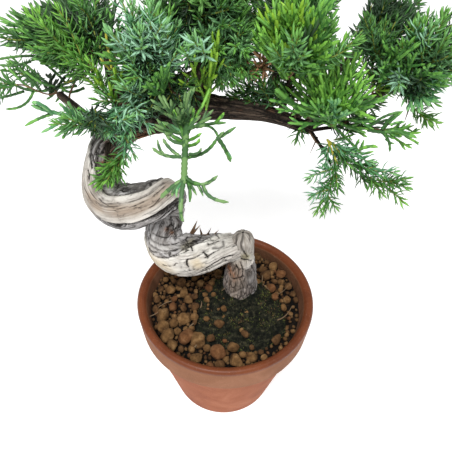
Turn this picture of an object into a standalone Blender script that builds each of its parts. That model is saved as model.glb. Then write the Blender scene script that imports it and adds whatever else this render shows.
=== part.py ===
"""A small Chinese juniper with a zigzag trunk, in a round clay pot.

Metres, +Z up. Places are measured from the pot's axis, with the pot's foot at z = 0.
The empty called plant then carries everything, so that the middle of the whole box is at x = y = 0.
"""

import math
from collections import namedtuple

import bmesh
import bpy
from mathutils import Matrix, Vector, noise

# Clearance between neighbouring solids, and round a limb that is seated in a mass or on a limb
GAP = 0.0003
SEAT_GAP = 0.0005

# Where the pot's axis stands, seen from the middle of the plant's box
POT_AXIS = Vector((0.0039, -0.0301, 0.0))

# Pot: a turned clay wall with a thick rim band and one drain hole
POT_HEIGHT = 0.0835
POT_FOOT_RADIUS = 0.0337
POT_WALL_TOP_RADIUS = 0.0479
RIM_RADIUS = 0.0525
RIM_BAND_HEIGHT = 0.0174
RIM_BAND_FOOT_RADIUS = 0.0512
RIM_INNER_RADIUS = 0.0480
RIM_ROUNDING = 0.0020
POT_FLOOR = 0.0065
POT_FLOOR_INNER_RADIUS = 0.0285
POT_FOOT_CHAMFER = 0.0012
DRAIN_RADIUS = 0.0090
POT_SIDES = 40
ROUNDING_STEPS = 2

# Soil: its level under the trunk, and how far it is worn down towards the rim
SOIL_LEVEL = 0.0750
SOIL_WEAR = 0.0022
SOIL_FLAT_SHARE = 0.75
SOIL_RINGS = 4
SOIL_SIDES = 32

# Moss: a low mound round the foot of the trunk
MOSS_CENTRE = Vector((0.0140, 0.0040, 0.0))
MOSS_RADIUS = 0.0240
MOSS_HEIGHT = 0.0062
MOSS_EDGE_HEIGHT = 0.0012
MOSS_UNEVEN = 0.18
MOSS_NOISE_SCALE = 1.6
MOSS_SIDES = 22
MOSS_RINGS = 4

# Limbs: sides of a ring, rings between two stations, and the unevenness of the surface
TRUNK_SIDES = 12
BOUGH_SIDES = 6
RINGS_PER_STEP = 2
BOUGH_STEPS = 2
TRUNK_UNEVEN = 0.03
BOUGH_UNEVEN = 0.04
NOISE_SCALE = 55.0
# A limb's inner side in a tight bend stays within this share of the bend's radius
CREASE = 0.90

# Foliage: how strongly the surface of a mass swells and sinks, in broad lobes and in small ones
LOBE_BROAD = 0.30
LOBE_SMALL = 0.16
LOBE_BROAD_SCALE = 1.7
LOBE_SMALL_SCALE = 4.1
# How finely a mass is divided, and how far apart in the noise two masses lie
BLOB_LEVEL = 3
SMALL_BLOB_LEVEL = 2
BLOB_SHIFT = Vector((7.3, 3.1, 5.7))

# Colours and roughnesses, and the angle in degrees above which an edge is drawn sharp
CLAY = (0.42, 0.16, 0.08)
SOIL = (0.36, 0.20, 0.11)
MOSS = (0.06, 0.09, 0.03)
BARK = (0.27, 0.20, 0.16)
DEADWOOD = (0.62, 0.55, 0.46)
LEAF = (0.10, 0.30, 0.07)
LEAF_BLUE = (0.16, 0.36, 0.22)
LEAF_DARK = (0.04, 0.14, 0.05)
CLAY_ROUGH = 0.70
SOIL_ROUGH = 0.95
BARK_ROUGH = 0.85
LEAF_ROUGH = 0.60
POT_SHARP = 30
SHARP = 40
LEAF_SHARP = 60

# Stump: x, y, z of its centre and its radius, from the flat cut at soil level up to the first bend
STUMP = (
    (0.0088, 0.0095, SOIL_LEVEL + GAP, 0.0112),
    (0.0087, 0.0095, 0.0830, 0.0103),
    (0.0086, 0.0095, 0.0910, 0.0098),
    (0.0090, 0.0096, 0.1080, 0.0085),
)

# Trunk from the knob over the stump to the fork: x, y, z and radius of the points that lead its curve
TRUNK = (
    # Knob
    (0.0135, 0.0100, 0.1160, 0.0050),
    (0.0086, 0.0098, 0.1165, 0.0080),
    # Lower arm, to the left
    (0.0010, 0.0094, 0.1158, 0.0085),
    (-0.0120, 0.0060, 0.1136, 0.0110),
    (-0.0250, 0.0045, 0.1112, 0.0124),
    (-0.0365, 0.0090, 0.1150, 0.0114),
    # Neck, back and up
    (-0.0365, 0.0200, 0.1252, 0.0098),
    (-0.0330, 0.0255, 0.1355, 0.0093),
    (-0.0325, 0.0190, 0.1460, 0.0098),
    # Upper arm, to the left again
    (-0.0410, 0.0095, 0.1466, 0.0109),
    (-0.0550, 0.0070, 0.1448, 0.0120),
    (-0.0660, 0.0105, 0.1484, 0.0106),
    # Rise
    (-0.0665, 0.0180, 0.1630, 0.0092),
    (-0.0605, 0.0215, 0.1770, 0.0084),
    (-0.0510, 0.0228, 0.1860, 0.0080),
    # Top, to the right, ending at the fork
    (-0.0370, 0.0245, 0.1884, 0.0074),
    (-0.0220, 0.0270, 0.1915, 0.0067),
    (-0.0120, 0.0290, 0.1930, 0.0062),
)

# The trunk's pieces, and the numbers of the points where each begins and ends
TRUNK_PIECES = (
    ("trunk_lower_arm", 0, 5, DEADWOOD),
    ("trunk_neck", 5, 8, BARK),
    ("trunk_upper_arm", 8, 11, DEADWOOD),
    ("trunk_rise", 11, 14, BARK),
    ("trunk_top", 14, 17, BARK),
)

# Boughs: the root inside the limb that carries it, the tip, both radii, and how far it bows upwards
Bough = namedtuple("Bough", "root tip root_radius tip_radius bow")
BOUGHS = {
    "right": Bough((-0.0117, 0.0291, 0.1930), (0.0430, 0.0355, 0.1775), 0.0058, 0.0034, 0.0035),
    "right_far": Bough((0.0395, 0.0360, 0.1790), (0.0860, 0.0470, 0.1990), 0.0026, 0.0018, -0.0010),
    "droop": Bough((0.0415, 0.0355, 0.1775), (0.0540, 0.0270, 0.1620), 0.0021, 0.0016, 0.0010),
    "droop_outer": Bough((0.0480, 0.0320, 0.1700), (0.0650, 0.0262, 0.1645), 0.0016, 0.0013, 0.0),
    "right_low": Bough((0.0415, 0.0355, 0.1775), (0.0660, 0.0400, 0.1750), 0.0020, 0.0015, 0.0),
    "right_front": Bough((0.0370, 0.0355, 0.1800), (0.0490, 0.0320, 0.1960), 0.0022, 0.0016, 0.0),
    "right_rear": Bough((0.0320, 0.0355, 0.1830), (0.0700, 0.0720, 0.2080), 0.0028, 0.0018, 0.0030),
    "right_back": Bough((0.0150, 0.0340, 0.1890), (0.0320, 0.0740, 0.2100), 0.0030, 0.0020, 0.0),
    "right_high": Bough((0.0200, 0.0345, 0.1875), (0.0290, 0.0290, 0.2180), 0.0030, 0.0020, 0.0),
    "middle": Bough((-0.0165, 0.0280, 0.1910), (-0.0125, 0.0440, 0.2420), 0.0044, 0.0022, 0.0),
    "back": Bough((-0.0350, 0.0250, 0.1890), (-0.0300, 0.0680, 0.2090), 0.0040, 0.0022, -0.0020),
    "centre_left": Bough((-0.0400, 0.0240, 0.1880), (-0.0370, 0.0240, 0.2160), 0.0028, 0.0018, 0.0),
    "left": Bough((-0.0440, 0.0230, 0.1870), (-0.0610, 0.0400, 0.2150), 0.0042, 0.0024, 0.0),
    "left_back": Bough((-0.0530, 0.0240, 0.1820), (-0.0680, 0.0670, 0.2050), 0.0032, 0.0020, -0.0010),
    "left_low": Bough((-0.0610, 0.0215, 0.1770), (-0.0880, 0.0410, 0.1920), 0.0034, 0.0020, 0.0020),
    "left_front": Bough((-0.0590, 0.0215, 0.1790), (-0.0660, 0.0090, 0.1960), 0.0028, 0.0018, 0.0),
    "left_hanging": Bough((-0.0600, 0.0210, 0.1780), (-0.0575, 0.0050, 0.1790), 0.0018, 0.0013, 0.0020),
    "front": Bough((-0.0240, 0.0260, 0.1900), (-0.0195, 0.0080, 0.2040), 0.0028, 0.0018, 0.0020),
}

# Foliage: centre, half sizes along its own x, y and z, turn about the vertical and dip of its x end
# in degrees, colour, and how finely its surface is divided
Mass = namedtuple("Mass", "centre halves turn dip colour level")
FOLIAGE = {
    "left_low": Mass((-0.108, 0.050, 0.1925), (0.033, 0.024, 0.0085), -12, -4, LEAF_DARK, BLOB_LEVEL),
    "left_front": Mass((-0.064, 0.008, 0.197), (0.028, 0.013, 0.008), 4, 6, LEAF_BLUE, BLOB_LEVEL),
    "left_hanging": Mass((-0.0575, 0.002, 0.174), (0.007, 0.006, 0.013), 0, 0, LEAF, SMALL_BLOB_LEVEL),
    "left_high": Mass((-0.082, 0.044, 0.223), (0.035, 0.026, 0.0145), -10, 8, LEAF, BLOB_LEVEL),
    "left_back": Mass((-0.074, 0.082, 0.212), (0.034, 0.023, 0.014), -30, 0, LEAF_DARK, BLOB_LEVEL),
    "centre_left": Mass((-0.038, 0.026, 0.226), (0.020, 0.024, 0.018), 0, 0, LEAF_BLUE, BLOB_LEVEL),
    "centre": Mass((-0.004, 0.038, 0.221), (0.023, 0.022, 0.021), 0, 0, LEAF, BLOB_LEVEL),
    "front": Mass((-0.0175, -0.014, 0.197), (0.0085, 0.033, 0.008), 0, 0, LEAF, BLOB_LEVEL),
    "top": Mass((-0.010, 0.054, 0.250), (0.034, 0.026, 0.013), 0, 0, LEAF, BLOB_LEVEL),
    "back_left": Mass((-0.028, 0.086, 0.218), (0.025, 0.023, 0.017), 0, 0, LEAF_DARK, BLOB_LEVEL),
    "back_right": Mass((0.032, 0.086, 0.218), (0.031, 0.024, 0.018), 10, 0, LEAF_DARK, BLOB_LEVEL),
    "right_high": Mass((0.029, 0.028, 0.231), (0.023, 0.025, 0.016), 0, 0, LEAF, BLOB_LEVEL),
    "right_front": Mass((0.056, 0.030, 0.201), (0.022, 0.018, 0.013), 0, 0, LEAF, BLOB_LEVEL),
    "right_far": Mass((0.098, 0.046, 0.213), (0.031, 0.028, 0.020), 12, -4, LEAF_BLUE, BLOB_LEVEL),
    "right_back": Mass((0.082, 0.084, 0.217), (0.028, 0.021, 0.015), 25, 0, LEAF_DARK, BLOB_LEVEL),
    "right_low": Mass((0.078, 0.040, 0.177), (0.023, 0.013, 0.007), 0, -4, LEAF, SMALL_BLOB_LEVEL),
    "droop_inner": Mass((0.056, 0.021, 0.152), (0.008, 0.011, 0.017), 0, 0, LEAF, SMALL_BLOB_LEVEL),
    "droop_outer": Mass((0.078, 0.024, 0.157), (0.023, 0.009, 0.0085), -8, -22, LEAF, SMALL_BLOB_LEVEL),
}


def clear_scene():
    for thing in list(bpy.data.objects):
        bpy.data.objects.remove(thing, do_unlink=True)


def make_material(name, colour, roughness):
    material = bpy.data.materials.new(name)
    material.use_nodes = True
    shader = material.node_tree.nodes["Principled BSDF"]
    shader.inputs["Base Color"].default_value = (*colour, 1.0)
    shader.inputs["Roughness"].default_value = roughness
    shader.inputs["Metallic"].default_value = 0.0
    return material


def make_object(name, mesh_maker, plant, colour=None, roughness=SOIL_ROUGH, sharp=SHARP):
    """One object from a bmesh, carried by the plant. Without a colour it is a cutter."""
    mesh = bpy.data.meshes.new(name)
    bmesh.ops.recalc_face_normals(mesh_maker, faces=mesh_maker.faces)
    mesh_maker.to_mesh(mesh)
    mesh_maker.free()
    thing = bpy.data.objects.new(name, mesh)
    bpy.context.scene.collection.objects.link(thing)
    thing.parent = plant
    if colour is None:
        thing.hide_render = True
        thing.display_type = "WIRE"
    else:
        mesh.materials.append(make_material(name, colour, roughness))
        mesh.shade_smooth()
        mesh.set_sharp_from_angle(angle=math.radians(sharp))
    return thing


def cut_away(thing, cutter):
    boolean = thing.modifiers.new("clear of " + cutter.name, "BOOLEAN")
    boolean.operation = "DIFFERENCE"
    boolean.solver = "EXACT"
    boolean.object = cutter


def boxes_meet(one, other):
    """Whether the boxes of two objects' own meshes meet."""
    spans = []
    for thing in (one, other):
        points = [corner.co for corner in thing.data.vertices]
        spans.append([(min(p[k] for p in points), max(p[k] for p in points)) for k in range(3)])
    return all(a[0] <= b[1] and b[0] <= a[1] for a, b in zip(*spans))


def clear_of_all(thing, cutters):
    for cutter in cutters.values():
        if boxes_meet(thing, cutter):
            cut_away(thing, cutter)


def turned(profile, sides):
    """A closed solid turned about the z axis from a closed profile of (radius, height) points."""
    maker = bmesh.new()
    corners = [maker.verts.new((radius, 0.0, height)) for radius, height in profile]
    edges = [maker.edges.new(pair) for pair in zip(corners, corners[1:] + corners[:1])]
    bmesh.ops.spin(
        maker,
        geom=corners + edges,
        cent=(0, 0, 0),
        axis=(0, 0, 1),
        angle=2 * math.pi,
        steps=sides,
        use_merge=True,
    )
    return maker


def arc(centre_radius, centre_height, size, first, last, steps):
    """Profile points on a quarter or half circle, from one angle to another in degrees."""
    angles = [math.radians(first + (last - first) * i / steps) for i in range(steps + 1)]
    return [
        (centre_radius + size * math.cos(a), centre_height + size * math.sin(a)) for a in angles
    ]


def inner_radius(height):
    """The pot's inner radius at a height above its floor."""
    share = (height - POT_FLOOR) / (POT_HEIGHT - RIM_ROUNDING - POT_FLOOR)
    return POT_FLOOR_INNER_RADIUS + (RIM_INNER_RADIUS - POT_FLOOR_INNER_RADIUS) * share


def make_pot(plant):
    band_foot = POT_HEIGHT - RIM_BAND_HEIGHT
    rounding_height = POT_HEIGHT - RIM_ROUNDING
    profile = [
        (DRAIN_RADIUS, 0.0),
        (POT_FOOT_RADIUS - POT_FOOT_CHAMFER, 0.0),
        (POT_FOOT_RADIUS, POT_FOOT_CHAMFER),
        (POT_WALL_TOP_RADIUS, band_foot),
        (RIM_BAND_FOOT_RADIUS - POT_FOOT_CHAMFER, band_foot),
        (RIM_BAND_FOOT_RADIUS, band_foot + POT_FOOT_CHAMFER),
    ]
    profile += arc(RIM_RADIUS - RIM_ROUNDING, rounding_height, RIM_ROUNDING, 0, 90, ROUNDING_STEPS)
    inner_centre = RIM_INNER_RADIUS + RIM_ROUNDING
    profile += arc(inner_centre, rounding_height, RIM_ROUNDING, 90, 180, ROUNDING_STEPS)
    profile += [(POT_FLOOR_INNER_RADIUS, POT_FLOOR), (DRAIN_RADIUS, POT_FLOOR)]
    return make_object("pot", turned(profile, POT_SIDES), plant, CLAY, CLAY_ROUGH, POT_SHARP)


def disc_rings(maker, rings, sides, place):
    """Rings of vertices round one middle vertex, where place(share, angle) gives each point."""
    middle = maker.verts.new(place(0.0, 0.0))
    loops = []
    for ring in range(1, rings + 1):
        loops.append([maker.verts.new(place(ring / rings, 2 * math.pi * i / sides)) for i in range(sides)])
    for i in range(sides):
        maker.faces.new((middle, loops[0][i], loops[0][(i + 1) % sides]))
    for inner, outer in zip(loops, loops[1:]):
        for i in range(sides):
            j = (i + 1) % sides
            maker.faces.new((inner[i], outer[i], outer[j], inner[j]))
    return loops[-1]


def close_below(maker, rim, foot_place):
    """Walls down from a rim loop to a foot loop, and a flat underside."""
    foot = [maker.verts.new(foot_place(corner.co)) for corner in rim]
    for i, corner in enumerate(rim):
        j = (i + 1) % len(rim)
        maker.faces.new((rim[j], corner, foot[i], foot[j]))
    maker.faces.new(foot)


def make_soil(plant):
    top_radius = inner_radius(SOIL_LEVEL - SOIL_WEAR) - GAP
    foot_height = POT_FLOOR + GAP
    foot_radius = inner_radius(foot_height) - GAP

    def top(share, angle):
        radius = top_radius * share
        wear = SOIL_WEAR if share > SOIL_FLAT_SHARE else 0.0
        return Vector((radius * math.cos(angle), radius * math.sin(angle), SOIL_LEVEL - wear))

    def foot(corner):
        return Vector((corner.x, corner.y, 0)) * (foot_radius / top_radius) + Vector((0, 0, foot_height))

    maker = bmesh.new()
    close_below(maker, disc_rings(maker, SOIL_RINGS, SOIL_SIDES, top), foot)
    return make_object("soil", maker, plant, SOIL)


def make_moss(plant, stump_cutter):
    foot_height = SOIL_LEVEL + GAP

    def top(share, angle):
        around = Vector((math.cos(angle), math.sin(angle), 0))
        radius = MOSS_RADIUS * (1 + MOSS_UNEVEN * noise.noise(around * MOSS_NOISE_SCALE)) * share
        height = MOSS_EDGE_HEIGHT + (MOSS_HEIGHT - MOSS_EDGE_HEIGHT) * (1 - share * share)
        return MOSS_CENTRE + around * radius + Vector((0, 0, foot_height + height))

    def foot(corner):
        return Vector((corner.x, corner.y, foot_height))

    maker = bmesh.new()
    close_below(maker, disc_rings(maker, MOSS_RINGS, MOSS_SIDES, top), foot)
    moss = make_object("moss", maker, plant, MOSS)
    cut_away(moss, stump_cutter)
    return moss


def spline_point(stations, where):
    """Point, direction, radius and bend on a smooth curve led by the stations, at a station number.

    The bend points to the inside of the curve, and its length is one over the curve's radius.
    """
    last = len(stations) - 1
    step = min(int(where), last - 1)
    t = where - step
    places = [Vector(s[:3]) for s in stations]
    places = [2 * places[0] - places[1]] + places + [2 * places[-1] - places[-2]]
    near = places[step : step + 4]
    weights = ((1 - t) ** 3, 3 * t**3 - 6 * t**2 + 4, -3 * t**3 + 3 * t**2 + 3 * t + 1, t**3)
    slopes = (-((1 - t) ** 2), 3 * t**2 - 4 * t, -3 * t**2 + 2 * t + 1, t**2)
    turns = (1 - t, 3 * t - 2, 1 - 3 * t, t)
    point = sum((p * w for p, w in zip(near, weights)), Vector()) / 6
    slope = sum((p * w for p, w in zip(near, slopes)), Vector()) / 2
    turn = sum((p * w for p, w in zip(near, turns)), Vector())
    direction = slope.normalized()
    bend = (turn - direction * turn.dot(direction)) / slope.length_squared
    radius = stations[step][3] + (stations[step + 1][3] - stations[step][3]) * t
    return point, direction, radius, bend


def limb(stations, first, last, sides, uneven, swell=0.0):
    """A tapering tube along the stations from one station number to another, closed at both ends.

    A swell makes it thicker and longer by that much, for a cutter.
    """
    maker = bmesh.new()
    count = round((last - first) * RINGS_PER_STEP)
    across = None
    rings = []
    for i in range(count + 1):
        point, direction, radius, bend = spline_point(stations, first + (last - first) * i / count)
        if across is None:
            across = direction.orthogonal().normalized()
        across = (across - direction * across.dot(direction)).normalized()
        over = direction.cross(across)
        ends = {0: -1, count: 1}
        point = point + direction * ends.get(i, 0) * (swell - GAP / 2)
        ring = []
        for k in range(sides):
            angle = 2 * math.pi * k / sides
            outward = across * math.cos(angle) + over * math.sin(angle)
            bump = 1 + uneven * noise.noise((point + outward * radius) * NOISE_SCALE)
            inside = max(outward.dot(bend), 0.001)
            ring.append(maker.verts.new(point + outward * (min(radius * bump, CREASE / inside) + swell)))
        rings.append(ring)
    for lower, upper in zip(rings, rings[1:]):
        for k in range(sides):
            j = (k + 1) % sides
            maker.faces.new((lower[k], lower[j], upper[j]))
            maker.faces.new((lower[k], upper[j], upper[k]))
    maker.faces.new(rings[0][::-1])
    maker.faces.new(rings[-1])
    return maker


def limb_and_cutter(name, stations, first, last, sides, uneven, colour, plant):
    solid = make_object(name, limb(stations, first, last, sides, uneven), plant, colour, BARK_ROUGH)
    swollen = limb(stations, first, last, sides, uneven, SEAT_GAP)
    cutter = make_object(name + "_clearance", swollen, plant)
    return solid, cutter


def bough_stations(bough):
    """Points and radii along a bough, from its root to its tip, bowed in the vertical."""
    root = Vector(bough.root)
    tip = Vector(bough.tip)
    stations = []
    for i in range(BOUGH_STEPS + 1):
        share = i / BOUGH_STEPS
        point = root.lerp(tip, share)
        point.z += bough.bow * 4 * share * (1 - share)
        radius = bough.root_radius + (bough.tip_radius - bough.root_radius) * share
        stations.append((*point, radius))
    return stations


def make_limbs(plant):
    """The trunk's pieces and the boughs, each seated on what carries it. Returns their cutters."""
    cutters = {}
    for name, first, last, colour in TRUNK_PIECES:
        cutters[name] = limb_and_cutter(
            name, TRUNK, first, last, TRUNK_SIDES, TRUNK_UNEVEN, colour, plant
        )[1]
    stump, cutters["trunk_foot"] = limb_and_cutter(
        "trunk_foot", STUMP, 0, len(STUMP) - 1, TRUNK_SIDES, TRUNK_UNEVEN, BARK, plant
    )
    cut_away(stump, cutters["trunk_lower_arm"])
    for name, bough in BOUGHS.items():
        solid, cutter = limb_and_cutter(
            "bough_" + name, bough_stations(bough), 0, BOUGH_STEPS, BOUGH_SIDES, BOUGH_UNEVEN, BARK, plant
        )
        clear_of_all(solid, cutters)
        cutters["bough_" + name] = cutter
    return cutters


def mass_axes(mass):
    """A mass's own axes: turned about the vertical, with its x end dipped or raised."""
    turn = Matrix.Rotation(math.radians(mass.turn), 3, "Z")
    return turn @ Matrix.Rotation(-math.radians(mass.dip), 3, "Y")


def reach(mass, direction):
    """How far a mass's ellipsoid reaches from its centre towards a plane square to the direction."""
    local = mass_axes(mass).transposed() @ direction
    return math.sqrt(sum((half * part) ** 2 for half, part in zip(mass.halves, local)))


def fences(name):
    """Planes that keep a mass apart from its neighbours: each a direction and a distance."""
    mass = FOLIAGE[name]
    found = []
    for other_name, other in FOLIAGE.items():
        if other_name == name:
            continue
        towards = Vector(other.centre) - Vector(mass.centre)
        apart = towards.length
        towards.normalize()
        mine = reach(mass, towards)
        found.append((towards, apart * mine / (mine + reach(other, towards)) - GAP / 2))
    return found


def make_mass(name, seed, plant):
    """A closed lobed solid of leaves, with flat sides where it presses on its neighbours."""
    mass = FOLIAGE[name]
    axes = mass_axes(mass)
    planes = fences(name)
    shift = seed * BLOB_SHIFT
    maker = bmesh.new()
    bmesh.ops.create_icosphere(maker, subdivisions=mass.level, radius=1.0)
    for corner in maker.verts:
        out = corner.co.normalized()
        swell = 1 + LOBE_BROAD * noise.noise(out * LOBE_BROAD_SCALE + shift)
        swell += LOBE_SMALL * noise.noise(out * LOBE_SMALL_SCALE + shift)
        ray = axes @ Vector([half * part for half, part in zip(mass.halves, out)]) * swell
        share = 1.0
        for direction, limit in planes:
            along = ray.dot(direction)
            if along > limit:
                share = min(share, limit / along)
        corner.co = Vector(mass.centre) + ray * share
    return make_object("foliage_" + name, maker, plant, mass.colour, LEAF_ROUGH, LEAF_SHARP)


def make_foliage(plant, cutters):
    for seed, name in enumerate(FOLIAGE, start=1):
        clear_of_all(make_mass(name, seed, plant), cutters)


def main():
    clear_scene()
    plant = bpy.data.objects.new("plant", None)
    bpy.context.scene.collection.objects.link(plant)
    plant.location = POT_AXIS
    make_pot(plant)
    make_soil(plant)
    cutters = make_limbs(plant)
    make_moss(plant, cutters["trunk_foot"])
    make_foliage(plant, cutters)


main()
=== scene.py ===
import math
from collections import namedtuple

import bmesh
import bpy
import numpy as np
from mathutils import Matrix, Vector


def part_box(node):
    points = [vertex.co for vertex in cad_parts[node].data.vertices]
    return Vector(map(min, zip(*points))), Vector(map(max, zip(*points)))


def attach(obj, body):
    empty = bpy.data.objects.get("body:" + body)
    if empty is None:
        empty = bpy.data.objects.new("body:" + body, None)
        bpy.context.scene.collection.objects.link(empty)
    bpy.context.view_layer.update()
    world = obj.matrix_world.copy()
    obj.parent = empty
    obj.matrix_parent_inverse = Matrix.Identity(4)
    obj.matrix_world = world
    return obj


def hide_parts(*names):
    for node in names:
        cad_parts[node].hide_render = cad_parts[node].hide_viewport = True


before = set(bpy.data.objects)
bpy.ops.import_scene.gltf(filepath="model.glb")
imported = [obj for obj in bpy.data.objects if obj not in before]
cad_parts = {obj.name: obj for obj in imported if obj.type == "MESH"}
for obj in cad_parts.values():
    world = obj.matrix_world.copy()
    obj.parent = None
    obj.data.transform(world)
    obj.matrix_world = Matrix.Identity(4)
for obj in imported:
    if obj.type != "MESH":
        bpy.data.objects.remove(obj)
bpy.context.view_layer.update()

# Looks of a small potted juniper. Metres, +Z up, in the row frame.
# Places written in MM are measured from the pot's axis at its foot, and grounded() puts them in the frame.
MM = 0.001
SEED = 20
POT_LOW, POT_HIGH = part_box("pot")
POT_AXIS = np.array([(POT_LOW.x + POT_HIGH.x) / 2, (POT_LOW.y + POT_HIGH.y) / 2, POT_LOW.z])
UP = np.array([0.0, 0.0, 1.0])

# Camera: its place and angles, from the ellipse of the pot's rim in the picture
CAMERA_PLACE = (-0.83, -177.58, 307.54)
CAMERA_DIP = 43.18
CAMERA_ROLL = 1.53
CAMERA_LENS = 37.43
SENSOR = 36.0
CAMERA_TILT = Matrix.Rotation(math.radians(90 - CAMERA_DIP), 3, "X")
CAMERA_TURN = CAMERA_TILT @ Matrix.Rotation(math.radians(CAMERA_ROLL), 3, "Z")

# Light
SKY = 0.58
KEY_POWER = 17.0
FILL_POWER = 2.0
FLOOR_GLOW = 0.42

# Pot: outline radii and heights in MM, and the lip's inner side from the crest down
POT_FOOT = 33.7
POT_WALL_TOP = 47.9
BAND_FOOT = 51.2
BAND_HEIGHT = 19.2
BAND_ROUND = 1.3
RIM = 52.5
RIM_ROUND = 2.0
POT_TALL = 85.3
POT_FLOOR = 6.5
POT_FLOOR_INNER = 28.5
DRAIN = 9.0
LIP = ((50.4, 85.3), (49.7, 85.15), (48.9, 84.7), (48.1, 83.9), (47.4, 82.8), (46.9, 81.4), (46.6, 79.8))

# Soil: its surface is a little higher than in the CAD, and rises to the back. Fines lie FINES_DROP under it
SOIL_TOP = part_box("soil")[1].z / MM
SOIL_RISE = 3.6
SOIL_SLOPE = 0.045
SOIL_RADIUS = 46.0
FINES_DROP = 4.6
# Grains: how many of a size, smallest and largest radius in MM, and the size, which is also how fine the
# ball is cut. They lie GRAIN_DROP under the soil's surface, and higher on the moss
BIG, MIDDLING, SMALL = 4, 3, 2
GRAIN_SIZES = ((12, 3.8, 5.0, BIG), (210, 2.1, 3.6, MIDDLING), (640, 1.0, 2.1, SMALL))
GRAIN_DROP = 4.4
GRAIN_RISE_ON_MOSS = 2.2
MOSS_PLACE = (9.0, -5.0)
MOSS_REACH = 27.0
TUFTS = 6500
LITTER = 16

# Trunk: x, y, z and radius in MM of the points that lead its curve, from the knob to the end of the
# right bough, then where the strip of bare wood faces, and how many degrees it reaches to either side
Station = namedtuple("Station", "x y z radius facing bare low")
TRUNK = [Station(*row) for row in (
    (13.0, 10.0, 116.0, 4.5, (0.1, -0.9, 0.1), 180, 180),
    (8.6, 9.8, 116.0, 6.6, (0.1, -0.9, 0.0), 180, 180),
    (1.0, 9.4, 115.8, 8.3, (0.0, -0.9, -0.3), 150, 150),
    (-12.0, 6.0, 113.6, 11.0, (0.0, -0.8, -0.5), 115, 118),
    (-25.0, 4.5, 111.2, 12.4, (0.0, -0.75, -0.6), 97, 95),
    (-36.5, 9.0, 115.0, 11.4, (-0.45, -0.6, -0.65), 36, 74),
    (-36.5, 20.0, 125.2, 9.8, (-0.9, -0.4, 0.0), -30, -30),
    (-33.0, 25.5, 135.5, 9.3, (-0.5, 0.6, 0.5), -30, -30),
    (-32.5, 19.0, 146.0, 9.8, (0.45, 0.2, 0.85), 34, 58),
    (-41.0, 9.5, 146.6, 10.9, (0.1, -0.68, 0.70), 36, 46),
    (-55.0, 7.0, 144.8, 12.0, (-0.1, -0.84, 0.50), 38, 42),
    (-66.0, 10.5, 148.4, 10.6, (-0.5, -0.80, 0.25), 54, 46),
    (-66.5, 18.0, 163.0, 9.2, (-0.85, -0.45, 0.1), 62, 50),
    (-60.5, 21.5, 177.0, 8.4, (-0.9, -0.3, 0.3), -22, 60),
    (-51.0, 22.8, 186.0, 8.0, (-0.4, -0.5, 0.7), -60, 0),
    (-37.0, 24.5, 188.4, 7.4, (0.0, -0.6, 0.8), -60, -60),
    (-22.0, 27.0, 191.5, 6.6, (0.0, -0.7, 0.7), -60, -60),
    (-12.0, 29.0, 193.0, 5.8, (0.0, -0.7, 0.7), -60, -60),
    (17.0, 32.3, 190.0, 4.0, (0.0, -0.7, 0.7), -60, -60),
    (43.0, 35.5, 177.5, 3.0, (0.0, -0.7, 0.7), -60, -60),
)]
# The stump: x, z and radius in MM, and degrees of bare wood
STUMP = [Station(x, 9.5, z, radius, (0.0, -1.0, 0.0), bare, bare) for x, z, radius, bare in (
    (8.8, 75.2, 10.6, -60), (8.7, 83.0, 10.0, -60), (8.6, 91.0, 9.6, -60), (9.0, 98.0, 8.9, -60),
    (9.3, 104.0, 7.2, -60), (9.3, 109.0, 6.6, 170), (9.0, 118.0, 6.6, 180), (8.6, 127.5, 7.4, 180),
)]
# Stations after which the bark turns from grey to the brown of the top and the right bough
BROWN_FROM = 13.0
BROWN_TO = 15.0
STUMP_BROWN = 0.50

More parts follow.
